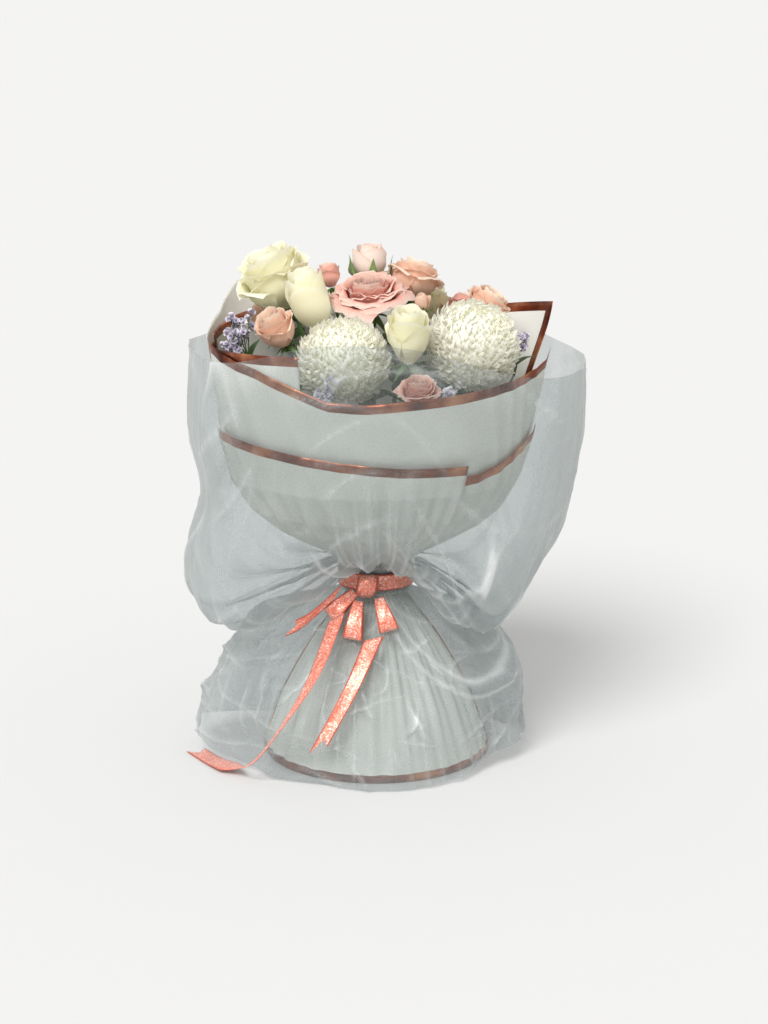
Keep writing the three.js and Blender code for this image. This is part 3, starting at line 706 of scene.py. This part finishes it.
def incurved_bloom_tree():
    """Florets set out on a golden spiral over a ball, each hooking towards the crown, small at the crown."""
    tree, source, sink = tree_with("incurved_bloom", {
        "Florets": "Int", "Ball": "Float", "Stretch": "Float", "Floret": "Object", "Crown Size": "Float",
        "Seed": "Int", "Finish": "Material"})
    given = source.outputs
    points = add(tree, "GeometryNodePoints", {"Count": given["Florets"]})
    index = add(tree, "GeometryNodeInputIndex")
    share = reckon(tree, "DIVIDE", index.outputs[0], given["Florets"])
    cosine = reckon(tree, "MULTIPLY_ADD", share.outputs[0], -1.72, 0.998)
    square = reckon(tree, "MULTIPLY", cosine.outputs[0], cosine.outputs[0])
    rest = reckon(tree, "SUBTRACT", 1.0, square.outputs[0])
    sine = reckon(tree, "SQRT", rest.outputs[0])
    turn = reckon(tree, "MULTIPLY", index.outputs[0], GOLDEN_TURN)
    cos_turn = reckon(tree, "COSINE", turn.outputs[0])
    sin_turn = reckon(tree, "SINE", turn.outputs[0])
    x = reckon(tree, "MULTIPLY", sine.outputs[0], cos_turn.outputs[0])
    y = reckon(tree, "MULTIPLY", sine.outputs[0], sin_turn.outputs[0])
    outward = add(tree, "ShaderNodeCombineXYZ",
        {"X": x.outputs[0], "Y": y.outputs[0], "Z": cosine.outputs[0]})
    stretch = add(tree, "ShaderNodeCombineXYZ", {"X": 1.0, "Y": 1.0, "Z": given["Stretch"]})
    shaped = add(tree, "ShaderNodeVectorMath", {0: outward.outputs[0], 1: stretch.outputs[0]},
        operation="MULTIPLY")
    place = add(tree, "ShaderNodeVectorMath", {0: shaped.outputs[0], "Scale": given["Ball"]},
        operation="SCALE")
    placed = add(tree, "GeometryNodeSetPosition",
        {"Geometry": points.outputs[0], "Position": place.outputs[0]})
    jitter = add(tree, "FunctionNodeRandomValue",
        {0: (-0.22, -0.22, -0.5), 1: (0.22, 0.22, 0.1), "Seed": given["Seed"]},
                 data_type="FLOAT_VECTOR")
    leaning = add(tree, "ShaderNodeVectorMath", {0: outward.outputs[0], 1: jitter.outputs[0]},
        operation="ADD")
    stand = add(tree, "FunctionNodeAlignRotationToVector", {"Vector": leaning.outputs[0]}, axis="Z")
    hook = add(tree, "FunctionNodeAlignRotationToVector",
        {"Rotation": stand.outputs[0], "Vector": (0.0, 0.0, 1.0)},
               axis="Y", pivot_axis="Z")
    twist = add(tree, "FunctionNodeRandomValue", {2: -0.5, 3: 0.5, "Seed": given["Seed"]},
        data_type="FLOAT")
    own = add(tree, "FunctionNodeAxisAngleToRotation", {"Axis": (0.0, 0.0, 1.0), "Angle": twist.outputs[1]})
    turned = add(tree, "FunctionNodeRotateRotation", {0: hook.outputs[0], 1: own.outputs[0]},
        rotation_space="LOCAL")
    growth = add(tree, "ShaderNodeMapRange", {"Value": share.outputs[0], "From Min": 0.0, "From Max": 0.3,
                                              "To Min": given["Crown Size"], "To Max": 1.0})
    vary = add(tree, "FunctionNodeRandomValue", {2: 0.85, 3: 1.15, "Seed": given["Seed"]},
        data_type="FLOAT")
    size = reckon(tree, "MULTIPLY", growth.outputs[0], vary.outputs[1])
    floret = add(tree, "GeometryNodeObjectInfo", {"Object": given["Floret"]})
    set_out = add(tree, "GeometryNodeInstanceOnPoints", {
        "Points": placed.outputs[0], "Instance": floret.outputs["Geometry"], "Rotation": turned.outputs[0],
        "Scale": size.outputs[0]})
    age = add(tree, "GeometryNodeStoreNamedAttribute", {"Geometry": set_out.outputs[0], "Name": "opening",
                                                        "Value": share.outputs[0]},
              data_type="FLOAT", domain="INSTANCE")
    real = add(tree, "GeometryNodeRealizeInstances", {0: age.outputs[0]})
    finished = add(tree, "GeometryNodeSetMaterial",
        {"Geometry": real.outputs[0], "Material": given["Finish"]})
    tree.links.new(finished.outputs[0], sink.inputs[0])
    return tree


BLOOM_TREE = incurved_bloom_tree()
FLORET = source_piece("floret", floret_shape(), 0, PETALS["white"])


def chrysanthemum(name, tint, facing, radius, height, florets):
    """An incurved bloom: a ball of hooked florets over a green heart."""
    foot, axis, turn = bloom_place(name, facing, height)
    made = grown(f"{name}_bloom", bpy.data.meshes.new(name), BLOOM_TREE, {
        "Florets": florets, "Ball": (radius - 13) * MM, "Stretch": (height / 2 - 11) / (radius - 13),
        "Floret": FLORET, "Crown Size": 0.55, "Seed": len(name) + florets, "Finish": PETALS[tint]})
    centre = to_row(foot + axis * height / 2)
    made.data.transform(Matrix.Translation(centre) @ Matrix(turn).to_4x4())
    settle(made, frame_slot(f"{name}_petals"), f"{name}_petals")
    heart = Patchwork()
    rows = np.linspace(0.02, math.pi - 0.02, 12)[:, None]
    columns = np.linspace(0, TAU, 24, endpoint=False)[None, :]
    ball = np.stack([np.sin(rows) * np.cos(columns), np.sin(rows) * np.sin(columns),
        -np.cos(rows) + 0 * columns], axis=-1)
    ball = ball * np.array([radius - 12, radius - 12, height / 2 - 11])
    heart.grid(foot + axis * height / 2 + ball @ turn.T, ring=True, opening=0.08)
    settle(heart.piece(f"{name}_heart", PETALS[tint]), frame_slot(f"{name}_petals"))
    green = Patchwork()
    cup = [(0.02, -7), (0.5, -6), (0.95, -3.5), (1.0, -1), (0.6, 1), (0.02, 1)]
    turns = TAU * np.arange(12) / 12
    bowl = np.array([[[8 * r * math.cos(a), 8 * r * math.sin(a), h] for a in turns] for r, h in cup])
    green.grid(foot - axis * CALYX_GAP + bowl @ turn.T, ring=True)
    return green


for bloom, habit in BLOOMS.items():
    dice = random.Random(bloom + "_stem")
    make = chrysanthemum if "florets" in habit else rose
    greenery = make(bloom, **habit)
    foot, axis, _ = bloom_place(bloom, habit["facing"], habit["height"])
    thick = 3 if "florets" in habit else 2.6 if habit["radius"] > 20 else 2
    leafy_stem(bloom, foot - axis * 8, axis, thick, 0 if "bud" in bloom else 5, dice, greenery)
    stalk = greenery.piece(f"{bloom}_stalk", SEPAL_GREEN if "bud" in bloom else LEAF_GREEN, thickness=0.3,
        offset=-1)
    settle(stalk, "foliage", f"{bloom}_stem")

bpy.data.objects.remove(FLORET)


# ---------------------------------------------------------------- sea lavender
# Where the branches part and the way that the sprig faces; its branches, their spread and reach, its leaves.
SPRIGS = {
    "sea_lavender_left": dict(head=(-124, -14, 402), facing=(-0.5, -0.15, 0.85), branches=9, spread=34,
     reach=42, leaves=3),
    "sea_lavender_front_left": dict(head=(-47, -108, 366), facing=(-0.1, -0.3, 0.95), branches=4, spread=26,
     reach=34, leaves=0),
    "sea_lavender_front": dict(head=(64, -103, 362), facing=(0.15, -0.1, 0.98), branches=3, spread=16,
     reach=30, leaves=0),
    "sea_lavender_right": dict(head=(138, -4, 396), facing=(0.1, 0.1, 0.98), branches=4, spread=20,
     reach=30, leaves=2),
    "sea_lavender_back": dict(head=(74, 100, 398), facing=(0.05, 0.2, 0.97), branches=5, spread=20,
     reach=34, leaves=1),
    "sea_lavender_back_left": dict(head=(-86, 92, 404), facing=(-0.2, 0.25, 0.95), branches=4, spread=18,
     reach=34, leaves=1),
}


def floret_cup(patch, at, out, size, rng):
    """A papery trumpet with five points: a lilac throat and a white frill."""
    turn = turn_to(out)
    level = np.array([0.0, 0.35, 0.75, 1.0])[:, None]
    round_at = TAU * np.arange(10)[None, :] / 10 + rng.uniform(0, 1)
    flare = 0.12 + 0.25 * level + 0.5 * level**3 * (1 + 0.3 * np.cos(5 * round_at))
    cup = np.stack([flare * np.cos(round_at), flare * np.sin(round_at), level * 1.2 + 0 * round_at],
        axis=-1) * size
    patch.grid(at + cup @ turn.T, ring=True, tone=np.clip(level * rng.uniform(0.6, 1.1), 0, 1))


def sea_lavender(name, head, facing, branches, spread, reach, leaves):
    """A stiff branched spray whose tips carry one-sided rows of papery florets."""
    rng = random.Random(name)
    head = np.array(head, dtype=float)
    axis = unit(facing)
    turn = turn_to(axis)
    green, flowers = Patchwork(), Patchwork()
    route = stem_route(name, head, axis)
    tube(green, route, 1.5 * np.linspace(1.05, 0.8, len(route)), sides=6)
    for k in range(branches):
        around_it = k * GOLDEN_TURN
        lean = math.radians(spread) * math.sqrt((k + 0.5) / branches)
        out = turn @ np.array([math.sin(lean) * math.cos(around_it), math.sin(lean) * math.sin(around_it),
            math.cos(lean)])
        tip = head + out * reach * (0.85 + 0.2 * math.cos(2.4 * k))
        bow = np.array([rng.uniform(-2, 2), rng.uniform(-2, 2), 0])
        tube(green, spline([head - out * 1.5, (head + tip) / 2 + bow, tip], np.linspace(0, 1, 6)), 0.55,
            sides=5)
        for _ in range(7):
            side = unit(out + np.array([rng.uniform(-1, 1) for _ in range(3)]) * 0.75)
            root = head + (tip - head) * rng.uniform(0.45, 0.98)
            end = root + side * rng.uniform(4, 9)
            tube(green, np.linspace(root, end, 3), 0.35, sides=4)
            for _ in range(6):
                place = root + (end - root) * rng.uniform(0.5, 1.0)
                away = unit(side + np.array([rng.uniform(-1, 1) for _ in range(3)]) * 0.9)
                floret_cup(flowers, place, away, rng.uniform(2.0, 3.2), rng)
    for k in range(leaves):
        out = turn @ np.array([math.cos(TAU * k / 3 + 0.7), math.sin(TAU * k / 3 + 0.7), 0.75])
        leaf(green, head, out, 30, 11, 0.25, rng.uniform(-0.6, 0.6))
    stalks = settle(green.piece(f"{name}_stalks", LEAF_GREEN), "sea_lavender", name)
    settle(flowers.piece(f"{name}_florets", CALYX), "sea_lavender")
    return stalks


for sprig, habit in SPRIGS.items():
    sea_lavender(sprig, **habit)


# ---------------------------------------------------------------- wrapping
# Half the width of the innermost sheet at each height: the spread foot, the waist, and the bowl.
BOWL = np.array([
    (0, 110), (4, 112), (30, 103), (60, 92), (90, 76), (120, 58), (148, 38), (168, 25), (183, 22.8),
     (198, 27),
    (212, 45), (225, 70), (240, 95), (258, 115), (290, 136), (330, 148), (380, 155), (440, 161),
     (480, 165)], dtype=float)
PAPER_THICKNESS = 0.3
HEM = 12
BORDER = 9.5


def wrap_radius(azimuth, z, layer):
    """Distance of a sheet from the tie axis. Sheets are numbered outward."""
    side = np.interp(z, BOWL[:, 0], BOWL[:, 1])
    front = side * mix(1, 0.86, ease(z, 198, 258))
    apart = mix(1.3, 2.2, ease(z, 205, 270))
    return 1 / np.hypot(np.cos(azimuth) / side, np.sin(azimuth) / front) + layer * apart


def around(azimuth, radius, z):
    azimuth, radius, z = np.broadcast_arrays(azimuth, radius, z)
    return np.stack([radius * np.cos(azimuth), radius * np.sin(azimuth), z], axis=-1)


def fluting(azimuth, z):
    """How far every sheet of paper swings out of its plain bowl, in pleats from the waist and in creases."""
    drift = 2.2 * np.sin(3 * azimuth + 1.0) + 1.6 * np.sin(5 * azimuth + 2.0)
    pleats = np.sin(23 * azimuth + drift) + 0.6 * np.sin(37 * azimuth - 1.3 * drift)
    above = ease(z, 186, 226) * (1 - ease(z, 240, 330))
    below = ease(z, 180, 120) * (1 - 0.6 * ease(z, 90, 20)) * ease(z, 0, 12)
    broad = np.sin(7 * azimuth + 0.8 + 0.004 * z) * ease(z, 250, 420)
    crease = 1 - np.abs(np.sin(11 * azimuth + 0.03 * z + drift))
    return 2.4 * pleats * above + 2.6 * pleats * below + 1.6 * broad + 1.2 * (crease - 0.4) * ease(z, 230,
        300)


# edge is the height of the upper edge against azimuth, flare how far the sheet leans out beside its corner,
# and sides whether its two upright edges show their foil. flat is the cut sheet's width and length.
PAPERS = {
    "paper_back": dict(layer=0, through=True,
     edge=[(15, 451), (36, 441), (90, 436), (135, 438), (180, 428)],
                       flare=(15, 24), sides=True, flat=(0.34, 0.54)),
    "paper_inner_left": dict(layer=1, edge=[(165, 415), (180, 418), (214, 423), (240, 427)], sides=False,
                             flat=(0.17, 0.34)),
    "paper_front": dict(layer=2, through=True,
     edge=[(181, 429), (195, 423), (221, 410), (252, 386), (267, 384),
                                                     (300, 390), (330, 396), (345, 404), (359, 414)],
                        flare=(359, 9), sides=True, flat=(0.35, 0.52)),
    "paper_back_left": dict(layer=3, edge=[(105, 425), (148, 467), (160, 440), (180, 425)], flare=(150, 3),
                            sides=False, foil=False, flat=(0.18, 0.34)),
    "paper_wrap_right": dict(layer=4, edge=[(270, 311), (300, 307), (315, 309), (328, 316), (352, 342)],
     sides=False,
                             flat=(0.13, 0.24)),
    "paper_wrap_left": dict(layer=5, edge=[(195, 342), (239, 332), (280, 322), (308, 320)], sides=False,
                            flat=(0.18, 0.25)),
}


def paper(name, layer, edge, sides, flat, through=False, foil=True, flare=(0, 0)):
    """A sheet of flower paper gathered at the waist, with foil along its upper edge."""
    edge = np.array(edge, dtype=float)
    first, last = edge[0, 0], edge[-1, 0]
    border = math.degrees(BORDER / 150)
    inner = np.linspace(first + border, last - border, int((last - first) / 1.1))
    degrees = np.concatenate([[first, first + border / 2], inner, [last - border / 2, last]])
    azimuth = np.radians(degrees)
    top = np.interp(degrees, edge[:, 0], edge[:, 1])
    low = PAPER_THICKNESS if through else 168.0
    # Evenly spaced along the sheet rather than by height, so that the shallow part of the bowl is as fine.
    ladder = np.linspace(low, 480, 2000)
    run = np.concatenate([[0], np.cumsum(np.hypot(np.diff(ladder),
        np.diff(wrap_radius(FRONT, ladder, layer))))])
    rows = []
    share = np.concatenate([np.linspace(0, 1, 150 if through else 100), [1.0, 1.0]])
    lift = np.zeros(len(share))
    lift[-2:] = (BORDER / 2, BORDER)
    for k, part in enumerate(share):
        shoulder = np.interp(top - BORDER, ladder, run)
        rows.append(np.interp(shoulder * part, run, ladder) + lift[k])
    z = np.array(rows)
    lean = flare[1] * np.maximum(0, np.cos(azimuth - math.radians(flare[0]))) ** 12 * ease(z, 330, 450)
    points = around(azimuth[None, :], wrap_radius(azimuth[None, :], z,
        layer) + lean + fluting(azimuth[None, :], z), z)
    finish = np.zeros((len(share) - 1, len(degrees) - 1), dtype=int)
    finish[-2:] = int(foil)
    if sides:
        finish[:, :2] = 1
        finish[:, -2:] = 1
    if through:
        hem = np.linspace(HEM, 0, 6)[:-1, None]
        turned = around(azimuth[None, :], wrap_radius(azimuth[None, :], 0.0, layer) - hem,
            np.full_like(hem, low))
        points = np.concatenate([turned, points])
        finish = np.concatenate([np.ones((5, finish.shape[1]), dtype=int), finish])
        finish[5:8] = 1
    patch = Patchwork()
    patch.grid(points, finish=finish)
    made = patch.piece(name + "_sheet", PAPER, FOIL, thickness=PAPER_THICKNESS)
    return settle(made, "foil_edged_paper", name)


for sheet_name, cut in PAPERS.items():
    paper(sheet_name, **cut)


# The outer gauze runs from under the ribbon out to the rim. In front and behind it rises along the paper; at
# the two sides it first sags below the waist. Each profile is (distance from the axis, height).
VEIL = [
    (-90, 6, [(35.4, 171), (35.2, 194), (48, 203), (90, 217), (124, 248), (146, 300), (152, 352),
     (152, 400), (150, 443)]),
    (-15, 3, [(35.4, 171), (35.2, 194), (48, 192), (86, 166), (118, 138), (143, 160), (177, 230),
     (194, 318), (201, 404)]),
    (90, 2, [(35.4, 171), (35.2, 194), (48, 203), (90, 212), (126, 238), (148, 290), (153, 345), (154, 395),
     (152, 438)]),
    (185, 3, [(35.4, 171), (35.2, 194), (48, 192), (100, 168), (150, 152), (179, 164), (186, 215),
     (175, 270), (186, 340), (180, 417)]),
]


def veil_point(azimuth, v):
    """The plain shape of the outer gauze, before it creases."""
    total = np.zeros_like(azimuth)
    spot = np.zeros((*azimuth.shape, 2))
    for middle, sharp, profile in VEIL:
        weight = np.maximum(0, np.cos(azimuth - math.radians(middle))) ** sharp
        spot += spline(profile, v.ravel()).reshape(*v.shape, 2) * weight[..., None]
        total += weight
    spot = spot / total[..., None]
    return around(azimuth, spot[..., 0], spot[..., 1])


def normals(points):
    """Unit normals of a grid that is a ring across, pointing away from the axis."""
    along = np.gradient(points, axis=0)
    across = np.roll(points, -1, axis=1) - np.roll(points, 1, axis=1)
    out = np.cross(across, along)
    return out / np.maximum(np.linalg.norm(out, axis=-1, keepdims=True), 1e-9)


def ridges(azimuth, v, count, seed, lean=0.0, keen=3):
    """Sharp creases that run up the cloth from the tie, lean, wander, and start and stop."""
    wander = 0.55 * ripple(azimuth, v * 0.8, 1.2, seed) + 0.08 * ripple(azimuth, v * 2.5, 5.0, seed + 7)
    sharp = 1 - np.abs(np.sin(count * azimuth / 2 + lean * v + 3.0 * wander))
    gate = np.clip(0.25 + 2.2 * ripple(azimuth, v * 2.2, 2.4, seed + 19), 0, 1)
    return sharp**keen * gate


def organza_veil():
    columns = np.linspace(0, TAU, 440, endpoint=False)
    azimuth, v = np.meshgrid(columns, np.linspace(0, 1, 112))
    plain = veil_point(azimuth, v)
    out = normals(plain)
    swell = ease(v, 0.16, 0.45)
    long_creases = ridges(azimuth, v, 14, 11.0, lean=5) + ridges(azimuth, v, 12, 71.0, lean=-6)
    fine = ridges(azimuth, v, 46, 31.0, lean=3, keen=4)
    cross = ridges(azimuth, v, 8, 93.0, lean=22, keen=6) + ridges(azimuth, v, 6, 17.0, lean=-26, keen=6)
    near_tie = ease(v, 0.16, 0.24) * (1 - ease(v, 0.35, 0.75))
    strands = (1 - np.abs(np.sin(17 * azimuth + 1.6 * np.sin(4 * azimuth) + 2.5 * v))) ** 6
    strands = strands * ease(v, 0.15, 0.2) * (1 - ease(v, 0.3, 0.8)) * np.clip(0.6 + ripple(azimuth, v, 3.0,
        41.0), 0, 1)
    folds = (3.6 * np.sin(19 * azimuth + 1.7 * np.sin(3 * azimuth)) * near_tie
             + 8.0 * ripple(azimuth, v * 1.2, 2.2, 3.0) * swell
             + 5.0 * long_creases * swell + 2.5 * cross * swell + 4.0 * strands
             + 2.6 * fine * ease(v, 0.16, 0.25) * (1 - 0.7 * ease(v, 0.5, 1)))
    # crease is the painted highlight mask: where it is high the gauze is painted whiter and more opaque,
    # along the strands near the tie and along the creases.
    crease = 0.8 * strands + 0.5 * long_creases**3 * swell
    crease = crease + 0.45 * cross * swell + 0.5 * fine * (0.3 + near_tie)
    patch = Patchwork()
    patch.grid(plain + out * np.clip(folds, -5, 11)[..., None], ring=True, crease=np.clip(crease, 0, 1))
    made = patch.piece("organza_veil", VEIL_GAUZE)
    return settle(made, "organza", "organza_upper")


# The middle of the roll of spare gauze that sags from under the bow and turns up: azimuth, height.
ROLL = [(-80, 168), (-70, 140), (-56, 108), (-40, 86), (-26, 88), (-14, 112), (-6, 138)]


def organza_skirt():
    columns = np.linspace(0, TAU, 420, endpoint=False)
    azimuth, v = np.meshgrid(columns, np.linspace(0, 1, 104))
    toward_side = lambda degrees, power: np.maximum(0, np.cos(azimuth - math.radians(degrees))) ** power
    hem = 1.5 + 24 * toward_side(180, 8) + 18 * toward_side(-16, 6)
    z = mix(hem, 169, np.minimum(1, v / 0.89)) + 23 * np.maximum(0, (v - 0.89) / 0.11)
    billow = (6 + 3 * np.cos(5 * azimuth) + 60 * toward_side(180, 8)
              + 20 * toward_side(-135, 6) * ease(z, 20, 60)
              + mix(16, 46, ease(z, 10, 100)) * toward_side(-10, 6))
    radius = wrap_radius(azimuth, z, 6) + billow * (1 - ease(z, 148, 173))
    spread = ease(z, 178, 130)
    roll = spline(np.array(ROLL, dtype=float), np.linspace(0, 1, 60))
    turn = (azimuth[..., None] + math.pi) % TAU - math.pi - np.radians(roll[:, 0])
    off = np.min(np.hypot(turn * 105, z[..., None] - roll[:, 1]), axis=-1)
    rolled = np.exp(-((off / 8) ** 2))
    long_creases = ridges(azimuth, v, 15, 51.0, lean=6) + ridges(azimuth, v, 11, 23.0, lean=-7)
    fine = ridges(azimuth, v, 48, 83.0, lean=3, keen=4)
    cross = ridges(azimuth, v, 7, 39.0, lean=20, keen=6) + ridges(azimuth, v, 6, 61.0, lean=-18, keen=6)
    folds = (3.2 * (1 + np.sin(11 * azimuth + 1.9 * np.sin(2 * azimuth))) * spread
             + 6.0 * long_creases * spread + 2.5 * fine * spread + 3.0 * cross * spread
             + 6.0 * (1 + ripple(azimuth, v * 1.6, 2.2, 5.0)) * spread + 9 * rolled * spread)
    # crease is the painted highlight mask: the gauze is painted whiter and more opaque along its creases and
    # along the edge of the rolled spare gauze.
    crease = 0.45 * long_creases**3 + 0.35 * fine + 0.4 * cross + 0.5 * np.exp(-(((off - 7) / 2.5) ** 2))
    patch = Patchwork()
    patch.grid(around(azimuth, radius + folds, z), ring=True, crease=np.clip(crease, 0, 1))
    made = patch.piece("organza_foot", SKIRT_GAUZE)
    return settle(made, "organza", "organza_skirt")


organza_veil()
organza_skirt()


# ---------------------------------------------------------------- ribbon and twine
RIBBON_WIDTH = 20
RIBBON_THICKNESS = 0.35
KNOT = np.array([-9.0, -49.0, TIE_HEIGHT])


def ribbon(name, node, points, ring):
    """A strip of ribbon from its grid of points, whose columns run across its width."""
    patch = Patchwork()
    patch.grid(np.vstack([points, points[:1]]) if ring else points)
    made = patch.piece(name, RIBBON, thickness=RIBBON_THICKNESS)
    return settle(made, "satin_ribbon", node)


def band():
    turn = np.linspace(0, TAU, 120, endpoint=False)[:, None]
    v = np.linspace(0, 1, 9)[None, :]
    pinch = 0.9 * np.sin(3 * TAU * v + 2 * np.sin(2 * turn))
    return around(turn, 38 + 0.7 * pinch, TIE_HEIGHT + RIBBON_WIDTH * 0.42 * (2 * v - 1) + 0 * turn)


def knot():
    """The band's end brought round its middle: a short strip wound once about the bow."""
    turn = np.linspace(0, TAU, 40, endpoint=False)[:, None]
    v = np.linspace(-1, 1, 11)[None, :]
    swell = 1 - 0.22 * v**2 + 0.07 * np.cos(9 * v + 2 * turn)
    return KNOT + np.stack([10.0 * v + 1.5 * np.sin(turn), 8.0 * swell * np.cos(turn),
        11.5 * swell * np.sin(turn)], axis=-1)


def loop(start, out, across, length, belly):
    """A flat loop of ribbon that leaves the knot, turns at its far end and comes back."""
    start, out, across = np.array(start, dtype=float), unit(out), unit(across)
    normal = np.cross(out, across)
    turn = TAU * np.linspace(0, 1, 60, endpoint=False)[:, None, None]
    v = np.linspace(0, 1, 9)[None, :, None]
    buckle = 1.2 * np.sin(9 * v + 2 * turn) * (1 + np.cos(turn)) / 2
    return (start + out * length / 2 * (1 - np.cos(turn))
            + normal * (belly * np.sin(turn) * (1.15 - 0.5 * np.cos(turn)) + buckle * 0.6)
            + across * RIBBON_WIDTH * (v - 0.5) * (0.75 - 0.25 * np.cos(turn)))


def tail(stops, steps, curl=1.0):
    """A tail of ribbon through places, each with the direction of its width, ending in a swallow tail."""
    places = np.array([place for place, _ in stops], dtype=float)
    widths = np.array([width for _, width in stops], dtype=float)
    length = np.linalg.norm(np.diff(places, axis=0), axis=1).sum()
    u = np.linspace(0, 1, 9)[None, :]
    v = np.linspace(0, 1, steps)[:, None]
    t = v * (1 - 0.55 * RIBBON_WIDTH / length * (1 - np.abs(2 * u - 1)))
    middle = spline(places, t.ravel()).reshape(*t.shape, 3)
    wide = spline(widths, t.ravel()).reshape(*t.shape, 3)
    wide = wide / np.linalg.norm(wide, axis=-1, keepdims=True)
    ahead = np.gradient(middle, axis=0)
    facing = np.cross(ahead, wide)
    facing = facing / np.linalg.norm(facing, axis=-1, keepdims=True)
    bow = curl * (1 - (2 * u - 1) ** 2) * np.sin(7 * t + 0.5)
    return middle + wide * RIBBON_WIDTH * (u - 0.5)[..., None] + facing * bow[..., None]


ribbon("ribbon_band_wrap", "ribbon_band", band(), True)
ribbon("ribbon_knot_wrap", "ribbon_knot", knot(), True)
ribbon("ribbon_left_loop", "ribbon_loop_left",
       loop((-21, -54, 178), (-0.72, -0.16, -0.68), (-0.6, 0.3, 0.72), 34, 6), True)
ribbon("ribbon_right_loop", "ribbon_loop_right",
       loop((3, -63, 175), (0.3, -0.34, -0.9), (0.96, 0.1, 0.25), 34, 6), True)
ribbon("ribbon_centre_loop", "ribbon_loop_middle",
       loop((-17, -64, 172), (-0.16, -0.34, -0.93), (0.97, -0.1, -0.15), 38, 6), True)
LONG_TAIL = [((-38, -70, 158), (0.8, -0.2, 0.5)), ((-62, -106, 105), (0.75, -0.2, 0.6)),
             ((-100, -124, 50), (0.6, -0.3, 0.75)), ((-128, -108, 16), (0.5, -0.75, 0.4)),
             ((-156, -66, 4), (0.75, 0.6, 0.1)), ((-184, -20, 1.5), (0.85, 0.5, 0))]
RIGHT_TAIL = [((-2, -78, 138), (1, 0.1, 0.2)), ((-24, -110, 96), (0.95, 0.1, 0.35)),
    ((-56, -128, 40), (0.9, -0.1, 0.4))]
SHORT_TAIL = [((-36, -62, 182), (0.5, 0.1, 0.85)), ((-66, -76, 158), (0.5, 0.1, 0.85)),
    ((-84, -84, 150), (0.55, 0.1, 0.8))]
ribbon("ribbon_long_tail", "ribbon_tail_long", tail(LONG_TAIL, 90, 0.4), False)
ribbon("ribbon_front_tail", "ribbon_tail_right", tail(RIGHT_TAIL, 50), False)
ribbon("ribbon_cut_end", "ribbon_tail_short", tail(SHORT_TAIL, 40), False)

coil = Patchwork()
# Three turns side by side, inside the ring that stands for them.
TURNS = 3
WOUND_RADIUS = 20.9
WOUND_WIDTH = 4.8
CORD_RADIUS = 1.0
turns = np.linspace(0, TURNS * TAU, 220)
winding = around(turns, WOUND_RADIUS + 0 * turns, TIE_HEIGHT + (turns / (TURNS * TAU) - 0.5) * WOUND_WIDTH)
tube(coil, winding, CORD_RADIUS, sides=8)
settle(coil.piece("twine_turns", TWINE), "twine", "binding_twine")


# ---------------------------------------------------------------- floor, light and air
def studio():
    """A wide pale floor that meets a pale air, and one soft sun from the left and in front."""
    floor = Patchwork()
    spread = np.array([[[x, y, 0.0] for x in (-60000, 60000)] for y in (-60000, 60000)], dtype=float)
    floor.grid(spread)
    made, tree = material("pale_floor")
    matt = add(tree, "ShaderNodeBsdfPrincipled", {"Base Color": linear("#d3d3d3"), "Roughness": 0.9})
    output(tree, matt.outputs[0])
    floor.piece("floor", made)
    sky = bpy.data.worlds.new("air")
    bpy.context.scene.world = sky
    sky.use_nodes = True
    sky.node_tree.nodes["Background"].inputs["Color"].default_value = linear("#f6f5f3")
    sky.node_tree.nodes["Background"].inputs["Strength"].default_value = 0.78
    sun = bpy.data.objects.new("sun", bpy.data.lights.new("sun", "SUN"))
    bpy.context.scene.collection.objects.link(sun)
    sun.data.energy = 3.0
    sun.data.angle = math.radians(28)
    sun.rotation_euler = Vector((0.36, 1.0, -1.05)).to_track_quat("-Z", "Y").to_euler()


studio()
